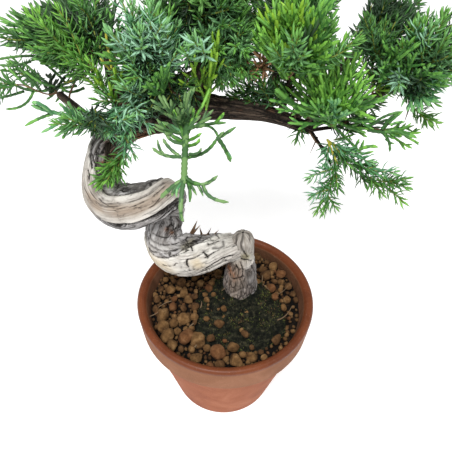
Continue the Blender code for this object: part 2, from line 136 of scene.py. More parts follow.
# Strokes on the trunk and on the stump, by kind: half their width and their depth in MM, then station and
# degrees round from the middle of the bare strip for each point they run through
TRUNK_STROKES = {
    "crack": (
        (0.4, 0.6, 5.45, 42, 5.19, 64, 4.99, 89, 4.74, 105, 4.35, 118, 3.89, 133, 3.5, 150),
        (0.4, 0.6, 5.43, 32, 5.21, 46, 5.01, 64, 4.81, 76, 4.58, 87, 4.27, 98),
        (0.4, 0.6, 4.27, 98, 3.93, 108, 3.44, 121, 3.15, 136),
        (0.28, 0.4, 5.51, 55, 5.39, 70, 5.25, 97, 5.22, 125),
        (0.28, 0.4, 5.15, 27, 5.03, 46, 4.85, 63, 4.64, 75, 4.46, 85), (0.45, 0.6, 4.4, 75, 4.48, 87),
        (0.45, 0.6, 3.53, 111, 3.46, 94), (0.3, 0.4, 4.33, 79, 4.09, 85, 3.79, 93, 3.65, 97),
        (1, 1.6, 3.25, 124, 3.06, 138, 2.9, 159, 2.71, 150, 2.47, 134),
        (0.3, 0.4, 2.6, 138, 2.35, 129, 2.3, 115, 2.49, 108, 2.65, 113, 2.66, 124),
        (0.38, 0.5, 2.83, 100, 2.6, 99, 2.33, 103),
        (0.26, 0.3, 2.79, 105, 2.78, 87, 2.98, 83, 3.24, 75, 3.48, 72, 3.67, 72),
        (0.45, 0.6, 3.04, 82, 2.97, 71, 2.93, 60), (0.24, 0.3, 3.18, 67, 2.96, 63, 2.7, 68, 2.43, 69),
        (0.48, 0.8, 3.71, 71, 3.75, 63, 3.69, 50, 3.65, 30),
        (0.36, 0.5, 3.75, 63, 3.97, 64, 4.11, 61, 4.15, 53), (0.26, 0.3, 4.15, 53, 4.28, 46, 4.5, 39),
        (0.75, 1.2, 1.75, 18, 1.95, 25, 2.39, 31, 2.72, 30, 2.98, 26, 3.22, 21),
        (0.38, 0.7, 2.21, 14, 2.61, 15, 2.96, 15, 3.34, 13, 3.68, 8),
        (0.35, 0.6, 9.29, 45, 8.97, 45, 8.94, 58, 9.19, 67),
        (0.35, 0.6, 11.67, 109, 10.23, 93, 9.56, 71, 9.28, 63),
        (0.2, 0.3, 11.02, 39, 10.46, 27, 9.99, 18, 9.63, 15, 9.3, 15, 8.97, 16, 8.25, 16),
        (0.18, 0.2, 10.98, 29, 10.57, 18, 10.23, 7, 9.9, 2),
        (0.18, 0.2, 9.97, 4, 9.58, 1, 9.18, 3, 8.78, 4, 8.38, 5),
        (0.85, 2.2, 10.95, -46, 10.76, -44, 10.59, -41, 10.37, -41, 10.11, -41, 9.85, -43),
        (0.6, 1.6, 9.85, -43, 9.66, -47, 9.45, -47, 9.17, -46, 8.87, -45, 8.56, -50, 8.21, -55),
        (0.3, 0.6, 8.55, -58, 8.33, -65, 8.07, -69),
        (0.6, 1.2, 12.91, -13, 12.66, 13, 12.52, 34, 12.31, 50, 12.12, 60),
        (0.75, 1.2, 12.47, 15, 12.34, 28, 12.12, 40), (0.7, 1.2, 11.96, 22, 11.86, 27, 11.73, 22),
        (1.35, 1.8, 13.46, 39, 13.46, 42), (0.6, 0.8, 12.87, 44, 12.85, 50),
        (0.5, 0.6, 13.07, 58, 13.02, 65), (0.55, 0.6, 8.39, -84, 8.5, -87), (0.6, 0.6, 6.59, 116, 6.25, 97),
        (0.5, 0.8, 5.78, 121, 5.65, 152),
    ),
    "shade": (
        (0.6, 0.4, 2.65, 83, 2.41, 74, 2.17, 76, 2.16, 97), (5, 2.5, 15.3, -11, 15.6, -11),
    ),
    "tan": (
        (4.2, 0.5, 10.25, 13, 9.9, -1, 9.56, -4, 9.21, -4, 8.82, -3, 8.43, -5, 7.98, -2),
        (3, 1, 11.14, 7, 10.95, 8, 10.74, -3),
    ),
    "white": (
        (2.6, 0, 10.97, 42, 10.24, 29, 9.69, 23, 9.27, 24, 8.92, 25, 8.58, 23),
        (1.7, -0.9, 10.67, -20, 10.41, -25, 10.11, -30, 9.78, -34, 9.49, -39, 9.15, -34, 8.44, -42),
        (5.5, 0, 11.6, 85, 10.6, 85, 9.6, 80, 9, 75), (5, 0, 8, 150, 7.4, -170, 6.8, -165),
        (3, 0, 5.2, 60, 4.7, 90),
    ),
    "straw": (
        (4, 0, 4.85, 18, 4.73, 24, 4.48, 35), (3, 0, 3.39, 57, 3.28, 44),
    ),
    "rust": (
        (4.5, 0.4, 13.16, 82, 12.95, 99, 12.71, 97), (1.8, 0, 12.37, 60, 12.54, 82, 12.75, 104),
        (2.6, 0.3, 13.26, 59, 13.48, 68), (1.6, -0.6, 5.7, 92, 5.47, 113), (5, 0.4, 14.2, 100, 14.7, 95),
        (3, -1.6, 16.8, -70, 17, -70),
    ),
    "olive": (
        (2.2, 0, 3.93, 107, 3.5, 117),
    ),
}
STUMP_STROKES = {
    "shade": (
        (0.9, 1, 6.91, -83, 6.67, -49, 6.1, -32), (0.7, 0.9, 6.95, 1, 6.63, -14, 6.15, -2),
        (0.5, 0.6, 6.93, 94, 6.72, 49), (0.7, 0.8, 6.9, 160, 6.2, 150, 5.6, 165),
        (0.7, 0.8, 6.9, -130, 6.1, -120, 5.6, -135), (1.9, 1.6, 3.78, 26, 3.14, 32),
    ),
    "crack": (
        (0.4, 0.8, 6.05, 5, 5.44, 28), (0.45, 0.9, 5.26, -53, 5.41, -15, 5.21, 22, 4.78, 57),
        (0.4, 0.8, 3.16, -95, 3.23, -57, 2.73, -37, 3.07, -9),
        (0.36, 0.7, 5.03, -15, 4.11, 3, 3.31, 1, 2.95, -9), (0.36, 0.6, 4.51, -35, 4.05, -15),
        (0.32, 0.6, 2.93, -5, 2.16, 9, 1.45, 3), (0.36, 0.6, 4.25, 51, 3.1, 65, 2.16, 58),
    ),
    "white": (
        (2.2, 0, 4.4, 22, 4.13, 27),
    ),
    "rust": (
        (3, 0, 3.53, -77, 3.18, -31),
    ),
    "olive": (
        (2.6, 0, 5.6, 10, 5.5, 25),
    ),
    "tan": (
        (7, 0, 4.2, -20, 0.2, -20),
    ),
}
# Colour and share of the soft kinds of stroke
SOFT_COLOURS = (
    ("tan", (0.330, 0.245, 0.175), 0.70),
    ("white", (0.680, 0.655, 0.610), 0.55),
    ("straw", (0.560, 0.430, 0.230), 0.55),
    ("olive", (0.250, 0.220, 0.060), 0.60),
)

# Broken twigs and a bark spur: foot and tip in MM, and radius at the foot
SNAGS = (
    (-21, 14, 119, -17, 14, 131, 1.5), (-19.5, 13.5, 122, -15, 12.5, 129.5, 0.9),
    (-14.5, 13, 122, -15.5, 12, 128.5, 0.7), (-11, 13, 122, -9, 12, 128, 0.6),
    (-8, 13, 121, -4.5, 13, 126, 0.6), (-10, 11.5, 122, -14, 9, 126, 0.5),
    (24, 34, 184, 26, 33, 200, 0.7), (29, 35, 183, 34, 33, 198, 0.7), (34, 35, 181, 31, 30, 192, 0.5),
    (46, 35, 174, 42, 30, 165, 0.5), (93, 45, 187, 92, 43, 178, 0.5),
)

# Boughs: root and tip in MM, both radii, and how far each bows upwards
Bough = namedtuple("Bough", "root tip thick thin bow")
BOUGHS = {name: Bough(np.array(row[:3]), np.array(row[3:6]), *row[6:]) for name, row in {
    "right_far": (39.5, 36, 179, 86, 47, 199, 2.6, 1.8, -1),
    "droop": (41.5, 35.5, 177.5, 54, 27, 162, 1.3, 0.8, 1),
    "droop_outer": (48, 32, 170, 65, 26.2, 164.5, 0.9, 0.7, 0),
    "right_low": (41.5, 35.5, 177.5, 66, 41, 178.5, 1.4, 0.8, 0),
    "right_front": (37, 35.5, 180, 49, 32, 196, 1.8, 1.2, 0),
    "right_rear": (32, 35.5, 183, 70, 72, 208, 2.8, 1.8, 3),
    "right_back": (15, 34, 189, 32, 74, 210, 2.2, 1.6, 0),
    "right_high": (25, 34.5, 186, 29, 29, 218, 2.2, 1.5, 0),
    "middle": (-16.5, 28, 191, -12.5, 44, 242, 4.4, 2.2, 0),
    "back": (-35, 25, 189, -30, 68, 209, 4.0, 2.2, -2),
    "centre_left": (-40, 24, 188, -37, 24, 216, 2.8, 1.8, 0),
    "left": (-44, 23, 187, -61, 40, 215, 4.2, 2.4, 0),
    "left_back": (-53, 24, 182, -68, 67, 205, 3.2, 2.0, -1),
    "left_low": (-61, 21.5, 177, -88, 41, 192, 3.4, 2.0, 2),
    "left_front": (-59, 21.5, 179, -66, 9, 196, 2.8, 1.8, 0),
    "left_hanging": (-60, 21, 178, -57.5, 5, 179, 1.8, 1.3, 2),
    "front": (-24, 26, 190, -19.5, 8, 204, 2.8, 1.8, 2),
}.items()}

# Foliage of each mass: the bough that carries it, share of scaly cords, sprays that fill it, tints, lean
Mass = namedtuple("Mass", "bough cords sprays tints lean")
MASSES = {name: Mass(*row) for name, row in {
    "left_low": ("left_low", 0.5, 3, "dark mid", (-0.9, 0.3, -0.1)),
    "left_front": ("left_front", 0.3, 5, "blue mid", (-0.2, -0.6, 0.2)),
    "left_hanging": ("left_hanging", 0.0, 0, "", (0.0, -0.2, -1.0)),
    "left_high": ("left", 0.6, 36, "mid dark fresh", (-0.6, 0.1, 0.5)),
    "left_back": ("left_back", 0.7, 38, "dark mid", (-0.5, 0.5, 0.3)),
    "centre_left": ("centre_left", 0.15, 24, "mid blue", (0.0, 0.0, 0.9)),
    "centre": ("middle", 0.3, 40, "mid dark", (0.0, 0.0, 0.9)),
    "front": ("front", 0.4, 0, "", (0.0, -0.8, 0.1)),
    "top": ("middle", 0.5, 42, "mid fresh", (0.0, 0.1, 0.9)),
    "back_left": ("back", 0.5, 40, "dark mid", (0.0, 0.7, 0.4)),
    "back_right": ("right_back", 0.5, 44, "dark mid", (0.0, 0.7, 0.4)),
    "right_high": ("right_high", 0.5, 24, "fresh mid", (0.0, 0.0, 0.9)),
    "right_front": ("right_front", 0.8, 6, "fresh mid", (0.2, -0.1, 0.8)),
    "right_far": ("right_far", 0.4, 40, "mid dark blue", (0.5, 0.0, 0.6)),
    "right_back": ("right_rear", 0.4, 38, "dark mid", (0.5, 0.5, 0.4)),
    "right_low": ("right_low", 0.9, 3, "mid fresh", (0.9, 0.2, -0.1)),
    "droop_inner": ("droop", 0.0, 0, "", (-0.1, -0.2, -1.0)),
    "droop_outer": ("droop_outer", 0.0, 0, "", (0.7, -0.1, -0.5)),
}.items()}

# Sprays that the picture shows one by one, by mass: style and tint, then for each spray x, y and z in MM of
# its foot, of a place halfway if it bends, and of its tip
# Sprays with the deep tint stand for the shade inside the crown: painted shade.
PLACED = {
    "left_low": (
        ("cords mid", (-77, 44, 204, -97, 50, 204)),
        ("needles mid", (-70, 40, 203, -84, 44, 202)),
        ("cord dark", (-74.5, 46, 198.5, -84, 47, 194.5, -93, 48, 190.5),
         (-93, 48, 190.5, -98.5, 49, 188.5, -104.5, 50, 188),
         (-104.5, 50, 188, -114.5, 52, 190.5, -120, 54, 197),
         (-100, 49, 189, -104.5, 51, 193.5, -110.5, 54, 199),
         (-93, 48, 190.5, -99.5, 51, 195.5, -107.5, 54, 201.5),
         (-85, 47, 194, -91.5, 50, 200, -99.5, 53, 204.5),
         (-109.5, 50, 187.5, -117, 50, 185, -124.5, 50, 183),
         (-81, 56, 198.5, -94.5, 58, 202.5, -105, 58, 200.5),
         (-105, 58, 200.5, -113.5, 57, 198.5, -121.5, 56, 199),
         (-84, 58, 201.5, -103.5, 60, 202.5, -123, 60, 200),
         (-86.5, 47, 191.5, -88, 45, 189, -91.5, 44, 185)),
        ("cord mid", (-104.5, 50, 188, -111, 52, 193.5, -116, 54, 199),
         (-104.5, 50, 187.5, -111, 48, 180.5, -120, 46, 179),
         (-79.5, 46, 193.5, -94, 48, 192, -106.5, 51, 198.5),
         (-75, 44, 193.5, -82.5, 43, 191.5, -87, 44, 194)),
        ("thin dark", (-89, 47, 192, -92.5, 45, 188.5, -96, 44, 186.5)),
        ("thin yellow", (-76.5, 46, 199, -81, 46, 196.5, -85.5, 46, 195)),
    ),
    "left_front": (
        ("needles blue", (-48, 16, 199, -61, 8, 192), (-48, 16, 199, -55, 6, 191),
         (-47, 16, 201, -45, 6, 191), (-46, 16, 201, -36, 8, 193), (-47, 18, 201, -40, 6, 202),
         (-61.5, 14, 192, -68, 10, 196.5)),
        ("needles deep", (-46, 16, 201, -32, 12, 199)),
        ("needles mid", (-51, 18, 201, -60, 12, 204)),
        ("cord blue", (-66, 14, 191, -71, 11, 194.5, -76, 8, 199),
         (-74.5, 9, 196.5, -80, 8, 193, -86, 6, 190.5), (-71, 11, 194, -75, 10, 190.5, -81.5, 8, 187),
         (-69.5, 12, 193.5, -70.5, 10, 199.5, -71.5, 8, 205.5),
         (-72.5, 10, 196, -73.5, 9, 201, -75.5, 8, 204.5)),
        ("thick blue", (-76, 8, 199, -81.5, 6, 202, -85, 2, 206.5),
         (-79, 7, 200, -82, 4, 206, -85, 3, 207)),
        ("cord mid", (-79.5, 8, 199, -84.5, 6, 198, -91.5, 4, 195),
         (-72, 11, 194, -76.5, 10, 188, -78, 8, 186), (-68, 13, 191.5, -70, 12, 188, -74, 11, 186.5),
         (-64, 14, 192.5, -66.5, 12, 199, -69.5, 12, 199.5)),
        ("thin soft", (-51, 14, 202.5, -42, 12, 207, -34, 10, 214)),
    ),
    "left_hanging": (
        ("needles blue", (-48, 12, 195, -49, 4, 177)),
        ("needles fresh", (-50, 8, 181, -64, 3, 163), (-52, 7, 176, -61, 3, 173),
         (-53, 6, 174, -57, 3, 166)),
    ),
    "left_high": (
        ("needles fresh", (-55, 20, 201, -72, 22, 223), (-62, 20, 214, -85, 22, 238)),
        ("needles mid", (-68, 26, 216, -93, 30, 227)),
        ("cords lime", (-55, 20, 200, -61, 18, 219), (-54, 18, 200, -46, 16, 220)),
        ("thin yellow", (-54, 22, 211, -55, 26, 222), (-54, 20, 215, -57, 18, 221),
         (-55, 26, 222, -55, 28, 231)),
        ("needles dark", (-51, 40, 200, -59, 40, 198)),
    ),
    "centre_left": (
        ("needles blue", (-37, 20, 199, -43, 12, 226), (-40, 18, 220, -40, 14, 245),
         (-35, 18, 221, -32, 12, 246), (-34, 20, 205, -28, 14, 235), (-37, 20, 203, -49, 12, 212)),
        ("needles dark", (-33, 20, 201, -18, 16, 212), (-40, 40, 205, -45, 40, 195),
         (-33, 44, 204, -32, 44, 192), (-26, 46, 207, -28, 46, 196)),
        ("needles deep", (-38.5, 30, 205.5, -42.5, 20, 196.5), (-43, 28, 204, -38.5, 22, 193.5),
         (-45, 30, 210.5, -48, 22, 202), (-32.5, 16, 209, -35.5, 8, 202.5)),
    ),
    "centre": (
        ("needles blue", (-15, 40, 213, -17, 24, 227)),
        ("cords lime", (-12, 24, 194, -6, 22, 233), (-12, 24, 199, -18, 18, 220)),
        ("needles dark", (0, 44, 210, 3, 44, 237), (2, 50, 205, 16, 56, 192), (-2, 44, 209, -5, 40, 199),
         (-6, 52, 207, 6, 52, 201), (-18, 42, 206, -23, 40, 195), (-13, 44, 210, -5, 40, 204)),
        ("dead dead", (17, 38, 210, 10, 32, 215), (16, 38, 210, 12, 32, 210)),
        ("thin yellow", (4, 36, 204, 7, 36, 211)),
        ("star blue", (-14, 14, 227.5, -15, 8, 233), (-11.5, 14, 224.5, -12, 8, 230)),
        ("star mid", (-18, 16, 222, -19, 10, 228)),
        ("needles deep", (-31.5, 30, 205, -38, 22, 200.5), (-25, 30, 206, -28, 20, 201),
         (-33.5, 30, 208, -22.5, 22, 204), (-19.5, 28, 204.5, -16, 20, 200.5),
         (-26.5, 16, 207, -31, 8, 203.5), (-23, 14, 206.5, -21.5, 8, 201.5),
         (-30, 20, 210.5, -24.5, 12, 205.5)),
    ),
    "front": (
        ("cords soft", (-21, 0, 199, -29, -6, 217), (-21, 0, 199, -22, -8, 213),
         (-21, 0, 199, -17, -4, 218), (-20, -4, 199, -8, -8, 209), (-21, -4, 198, -31, -10, 206)),
        ("stem soft", (-19, 4, 201, -18.5, -14, 198, -17.5, -34, 195.5)),
        ("cord soft", (-20, -18, 196, -26.5, -20, 198, -31, -20, 201.5),
         (-21, -18, 196.5, -25, -16, 199, -27.5, -14, 202),
         (-18.5, -33, 194.5, -21, -36, 193.5, -22, -38, 191.5),
         (-18, -45, 189.5, -17.5, -48, 189.5, -16.5, -50, 189.5),
         (-10.5, -36, 196, -7.5, -36, 197.5, -4.5, -36, 200.5),
         (-10, -36, 196, -7, -39, 192.5, 0, -40, 191), (-20, -9, 196.5, -24.5, -10, 198.5, -27, -9, 202)),
        ("thin soft", (-27, -20, 198.5, -28.5, -19, 201, -29, -18, 204),
         (-5.5, -18, 204.5, -4, -18, 207, -2.5, -18, 208.5),
         (-16.5, -18, 197.5, -13, -20, 199.5, -11.5, -20, 202),
         (-15, -34, 194.5, -14, -36, 194, -12.5, -37, 191.5),
         (-12.5, -35, 195.5, -11, -37, 194.5, -10, -38, 192)),
        ("cord dark", (-17, -18, 196, -10, -19, 199.5, -5.5, -18, 205),
         (-5.5, -18, 205, -2, -17, 207, 2, -16, 209.5), (-13, 2, 198.5, -8, 2, 200, -2, 2, 200.5),
         (-16.5, -33, 195, -15, -37, 194, -15, -40, 190.5)),
        ("thin dark", (-14, 2, 198.5, -8, 0, 199, -5, -4, 195.5)),
        ("thick dark", (-5.5, -4, 196.5, -2.5, -6, 193, 0.5, -8, 187),
         (-17, -32, 196.5, -14.5, -34, 195.5, -10, -36, 196)),
        ("thin blue", (-2.5, -6, 193, -0.5, -7, 190.5, 1, -8, 188.5),
         (-18.5, -34, 194.5, -20, -37, 194, -20, -39, 192)),
        ("cord fresh", (-6.5, 2, 200.5, -4, 2, 203.5, -3, 2, 205.5),
         (-19, 0, 199.5, -14, 6, 203, -9.5, 14, 210.5), (-18, -4, 199, -16.5, 0, 203.5, -16, 4, 206),
         (-19.5, -8, 196.5, -24.5, -8, 199.5, -29.5, -4, 203.5),
         (-18, -8, 197.5, -15, -9, 199.5, -12, -9, 202),
         (-17.5, -12, 197.5, -14, -14, 200, -12.5, -14, 202.5)),
        ("thick soft", (-18, -32, 195, -22.5, -34, 192.5, -27, -35, 188),
         (-17.5, -34, 195.5, -18, -40, 193.5, -18, -46, 189),
         (-19.5, -6, 196.5, -25.5, 2, 203.5, -29.5, 8, 209.5),
         (-18.5, -2, 199, -18.5, 6, 205, -17.5, 12, 211)),
        ("thick fresh", (-19.5, -6, 197.5, -22.5, 0, 201.5, -25.5, 4, 206)),
        ("cord soft", (-19.5, -8, 196.5, -26, -8, 200.5, -31.5, -8, 203)),
        ("cord blue", (-20, -4, 198, -25, -2, 200.5, -30.5, 0, 201)),
    ),
    "back_right": (
        ("needles dark", (16, 64, 203, 31, 62, 195), (26, 70, 199, 20, 62, 192), (37, 70, 199, 44, 62, 190),
         (32, 56, 190, 20, 48, 190), (46, 66, 198, 54, 60, 187), (20, 34, 192, 14.5, 30, 206),
         (23, 34, 191.5, 21.5, 30, 206.5), (15.5, 38, 195, 4, 34, 198.5),
         (12.5, 36, 191.5, 1.5, 32, 196.5)),
        ("needles deep", (18.5, 36, 195, 10, 32, 201), (26.5, 34, 193, 27.5, 31, 205)),
    ),
    "right_high": (
        ("needles dark", (19, 38, 190, -2, 34, 197), (32, 40, 192, 24, 40, 200)),
        ("fan lime", (26, 30, 208, 16, 26, 239), (28, 30, 208, 24, 26, 243), (32, 30, 209, 41, 28, 232)),
        ("fan fresh", (30, 30, 209, 33, 26, 242), (24, 30, 208, 9, 26, 230)),
        ("plain yellow", (32, 34, 207, 30, 36, 221)),
        ("needles mid", (28, 38, 206, 21, 36, 213)),
    ),
    "right_front": (
        ("fan fresh", (49, 26, 186, 31, 28, 215), (50, 26, 186, 37, 30, 221), (50, 26, 186, 45, 30, 223),
         (51, 26, 186, 53, 30, 218), (51, 26, 186, 63, 30, 211)),
        ("cords mid", (48, 24, 188, 20, 24, 204)),
        ("fan mid", (49, 24, 189, 35, 14, 206)),
        ("fan blue", (50, 24, 189, 46, 12, 208)),
        ("fan mid", (50, 24, 189, 59, 16, 206)),
        ("needles dark", (48, 42, 181, 39, 46, 190), (52, 44, 184, 57, 46, 194)),
        ("cords dark", (45, 34, 182, 34, 34, 192)),
        ("plain mid", (37, 28, 189, 22, 26, 204)),
        ("stem mid", (36, 27, 192, 20, 22, 207)),
    ),
    "right_far": (
        ("needles fresh", (94, 46, 187, 110, 44, 179)),
        ("needles dark", (74, 52, 191, 65, 56, 229), (77, 52, 191, 73, 54, 227), (80, 50, 193, 82, 48, 211),
         (64, 52, 189, 71, 56, 198), (58, 52, 186, 63, 58, 199)),
        ("needles blue", (91, 46, 195, 107, 42, 206), (88.8, 40, 204.9, 95.5, 30, 216.2),
         (90.2, 38, 204.8, 100.4, 28, 210.5), (89.5, 39, 204.8, 97.8, 30, 206.5),
         (90.9, 40, 207.5, 100.7, 32, 216.3)),
        ("needles mid", (89, 46, 196, 85, 40, 233), (94, 44, 200, 93, 38, 235)),
        ("needles lime", (72, 44, 196, 84, 42, 199)),
    ),
    "right_low": (
        ("needles dark", (60, 44, 184, 75, 46, 181), (62, 48, 187, 81, 52, 185),
         (51.5, 36, 181, 63, 35, 178)),
        ("cord mid", (50.5, 30, 184.5, 59, 28, 178, 68, 26, 170), (64, 26, 174.5, 65, 26, 179),
         (67, 26, 172.5, 67.5, 26, 178.5), (79.5, 31, 186, 82, 31, 189.5, 84.5, 31, 192.5),
         (80, 30, 185, 83, 30, 186.5, 86.5, 30, 187)),
        ("thick fresh", (66.5, 26, 173, 71, 25, 175.5, 75, 25, 175)),
        ("cord fresh", (68, 26, 170, 73.5, 25, 172.5), (85, 30, 182.5, 87.5, 29, 184.5, 89.5, 29, 187)),
        ("cords mid", (50.5, 32, 186, 69, 30, 180), (60.5, 33, 185, 73.5, 32, 186),
         (80, 30, 181.5, 87, 29, 182, 94.5, 28, 179)),
        ("cords fresh", (58.5, 32, 182, 72.5, 31, 182)),
        ("thick dark", (69.5, 30, 182, 76, 30, 181, 82, 30, 181.5)),
        ("cord dark", (70.5, 31, 183, 76, 31, 189, 84, 31, 192),
         (76.5, 30, 182.5, 79.5, 31, 188.5, 83, 31, 190.5), (76.5, 30, 181, 81, 29, 176.5, 83, 28, 170.5)),
        ("thin mid", (79.5, 29, 177.5, 82, 29, 175.5, 84.5, 29, 175),
         (78, 30, 180, 81, 30, 178.5, 84, 29, 177.5), (80.5, 30, 181, 84, 30, 179, 87.5, 29, 179)),
        ("cords dark", (54, 36, 184.5, 72.5, 36, 183)),
    ),
    "droop_inner": (
        ("needles mid", (36, 34, 182, 34, 30, 175)),
        ("thin yellow", (49.5, 28, 177, 53, 26, 170.5, 56.5, 24, 164.5),
         (50.5, 28, 176, 55.5, 27, 171.5, 60, 26, 167)),
        ("hanging mid", (55, 24, 167, 54, 20, 154, 51.5, 14, 138.5), (55, 22, 159.5, 58.5, 20, 150.5),
         (53.5, 18, 148, 58, 15, 142.5)),
        ("hanging blue", (55, 23, 162, 48, 20, 162.5, 41.5, 18, 159.5),
         (54, 19, 152, 48.5, 17, 151.5, 44, 15, 150), (51, 28, 175, 50.5, 26, 163)),
        ("hanging fresh", (52, 17, 149, 48, 14, 140.5)),
    ),
    "droop_outer": (
        ("hanging dark", (53.5, 27, 172, 66.5, 24, 161, 80, 20, 155)),
        ("hanging mid", (55, 27, 171.5, 67, 24, 165, 81, 20, 159.5),
         (78.5, 20, 157.5, 86, 18, 158, 93.5, 16, 156.5), (82, 20, 158, 91.5, 17, 161.5),
         (53, 29, 176, 59, 28, 179)),
        ("hanging fresh", (80, 20, 155.5, 86.5, 17, 152.5, 93, 14, 148), (74, 20, 160, 81.5, 17, 151)),
        ("hanging blue", (70, 22, 164, 85.5, 18, 165), (51.5, 28, 175.5, 62, 26, 171.5),
         (57.5, 26, 171.5, 73.5, 22, 167.5)),
    ),
}
# Gaps in the crown where the picture shows the sky: place and radius in pixels of a picture of PICTURE pixels
PICTURE = 452
SKY_GAPS = (
    (346, 10, 17), (352, 34, 8), (118, 27, 8), (22, 54, 10),
    (4, 52, 8), (232, 92, 8), (408, 34, 7), (438, 92, 11),
)

# How a style of spray branches: room between side shoots (none if 0), their angle in degrees and share of
# the main shoot's length, thickness or needle size, whether they branch again, and whether a twig carries it
Style = namedtuple("Style", "scaly gap angle share size again twig")
STYLES = {name: Style(*row) for name, row in {
    "needles": (False, 6.5, 40, 0.56, 1.0, False, True),
    "star": (False, 0, 0, 0, 1.1, False, False),
    "hanging": (False, 9.0, 36, 0.36, 0.95, False, False),
    "dead": (False, 5.0, 45, 0.60, 1.25, False, True),
    "cords": (True, 3.8, 42, 0.60, 1.0, True, True),
    "fan": (True, 3.2, 33, 0.62, 1.1, True, True),
    "plain": (True, 9.0, 42, 0.34, 1.05, False, True),
    "thin": (True, 0, 0, 0, 0.80, False, False),
    "cord": (True, 0, 0, 0, 1.00, False, False),
    "thick": (True, 0, 0, 0, 1.25, False, False),
    "stem": (True, 0, 0, 0, 1.90, False, True),
}.items()}

# Tints of the leaves: slot, then colours of old growth, young tips, and the waxy upper face of a needle
Tint = namedtuple("Tint", "slot old young bloom")
TINTS = {name: Tint(*row) for name, row in {
    # deep: near-black greens, painted shade for sprays inside the crown
    "deep": ("dark", (0.008, 0.030, 0.007), (0.020, 0.064, 0.013), (0.032, 0.078, 0.034)),
    "dark": ("dark", (0.024, 0.085, 0.016), (0.066, 0.185, 0.034), (0.080, 0.200, 0.075)),
    "mid": ("green", (0.046, 0.155, 0.028), (0.130, 0.330, 0.058), (0.150, 0.350, 0.120)),
    "fresh": ("green", (0.070, 0.205, 0.026), (0.170, 0.400, 0.052), (0.180, 0.400, 0.100)),
    "lime": ("green", (0.110, 0.255, 0.020), (0.240, 0.440, 0.036), (0.240, 0.450, 0.080)),
    "blue": ("blue", (0.080, 0.235, 0.095), (0.180, 0.400, 0.140), (0.300, 0.540, 0.360)),
    "soft": ("green", (0.052, 0.125, 0.042), (0.140, 0.255, 0.085), (0.170, 0.290, 0.120)),
    "yellow": ("green", (0.400, 0.370, 0.045), (0.520, 0.520, 0.090), (0.500, 0.480, 0.100)),
    "dead": ("dark", (0.300, 0.135, 0.060), (0.480, 0.255, 0.130), (0.500, 0.280, 0.150)),
}.items()}
PARTS = Tint._fields[1:]
# Sprays whose tips lie deeper than this share of the way out from a mass's middle stand in the dark, and take
# the near-black deep tint as painted shade
SHADE_DEPTH_SHARE = 0.60
# Most triangles of a piece
PIECE_LIMIT = 190000
# Leaves in MM
NEEDLE = 7.3
NEEDLE_HALF_WIDTH = 0.68
WHORL = 3
WHORL_GAP = 1.9
# Radians between the needles of a whorl, from whorl to whorl, and between the side shoots of a spiral
NEEDLE_APART = 2.094
WHORL_TURN = 1.05
SPIRAL = 2.4
# Degrees at which needles stand off their shoot, and how many less at its tip
NEEDLE_OPEN = 56
NEEDLE_CLOSER = 34
CORD_RADIUS = 0.80
SCALE_GAP = 1.3
STEM_RADIUS = 0.45

# Colours of the clay's body, band and rim, each from its dark clouds to its light. The rim's colour sets in
# between these depths in MM under the top, and the band's within BAND_EDGE in metres of its foot
BODY_STOPS = ((0.30, (0.230, 0.070, 0.034)), (0.52, (0.300, 0.100, 0.048)), (0.75, (0.385, 0.150, 0.082)))
BAND_STOPS = ((0.30, (0.190, 0.082, 0.042)), (0.52, (0.228, 0.098, 0.050)), (0.75, (0.300, 0.140, 0.080)))
RIM_STOPS = ((0.30, (0.085, 0.022, 0.008)), (0.55, (0.135, 0.036, 0.012)), (0.80, (0.180, 0.054, 0.020)))
RIM_COLOUR_LOW = 3.6
RIM_COLOUR_HIGH = 2.4
BAND_EDGE = 0.0006
# Colours of the three kinds of grain and of the fines, dark, middle and light; the fines are nearly black, a
# painted shade of the gaps between the grains
GRAIN_COLOURS = {
    "grain_tan": ((0.052, 0.024, 0.008), (0.142, 0.074, 0.027), (0.270, 0.160, 0.070)),
    "grain_brown": ((0.032, 0.014, 0.005), (0.088, 0.043, 0.016), (0.175, 0.094, 0.040)),
    "grain_red": ((0.052, 0.020, 0.007), (0.128, 0.054, 0.020), (0.215, 0.108, 0.048)),
}
FINES_SHADE_COLOURS = ((0.001, 0.0006, 0.0004), (0.003, 0.0018, 0.001), (0.022, 0.012, 0.006))
# Colours of the mossy ground, and of the moss leaves from dark to yellow and dead
MOSS_STOPS = (
    (0.36, (0.001, 0.001, 0.001)), (0.50, (0.010, 0.011, 0.006)),
    (0.60, (0.036, 0.034, 0.019)), (0.74, (0.150, 0.125, 0.065)),
)
MOSS_LEAVES = (
    (0.003, 0.005, 0.003), (0.012, 0.018, 0.007), (0.042, 0.052, 0.014),
    (0.120, 0.130, 0.032), (0.100, 0.058, 0.024),
)
# Colours of wood, from its dark grain to its light
BARE_STOPS = (
    (0.26, (0.120, 0.098, 0.078)), (0.40, (0.340, 0.305, 0.265)),
    (0.54, (0.520, 0.485, 0.440)), (0.74, (0.740, 0.715, 0.660)),
)
GREY_STOPS = (
    (0.28, (0.070, 0.060, 0.054)), (0.42, (0.310, 0.297, 0.288)),
    (0.56, (0.490, 0.478, 0.475)), (0.74, (0.660, 0.650, 0.650)),
)
BROWN_STOPS = (
    (0.28, (0.006, 0.004, 0.003)), (0.44, (0.042, 0.029, 0.020)),
    (0.58, (0.110, 0.078, 0.056)), (0.76, (0.330, 0.260, 0.205)),
)
TWIG_STOPS = ((0.30, (0.030, 0.017, 0.009)), (0.50, (0.115, 0.066, 0.036)), (0.72, (0.270, 0.170, 0.095)))


def grounded(places):
    """Places in MM from the pot's axis, put in the row frame in metres."""
    return np.asarray(places, float) * MM + POT_AXIS


def unit(vectors):
    return vectors / np.maximum(np.linalg.norm(vectors, axis=-1, keepdims=True), 1e-12)


def smoothstep(low, high, values):
    share = np.clip((values - low) / (high - low), 0, 1)
    return share * share * (3 - 2 * share)


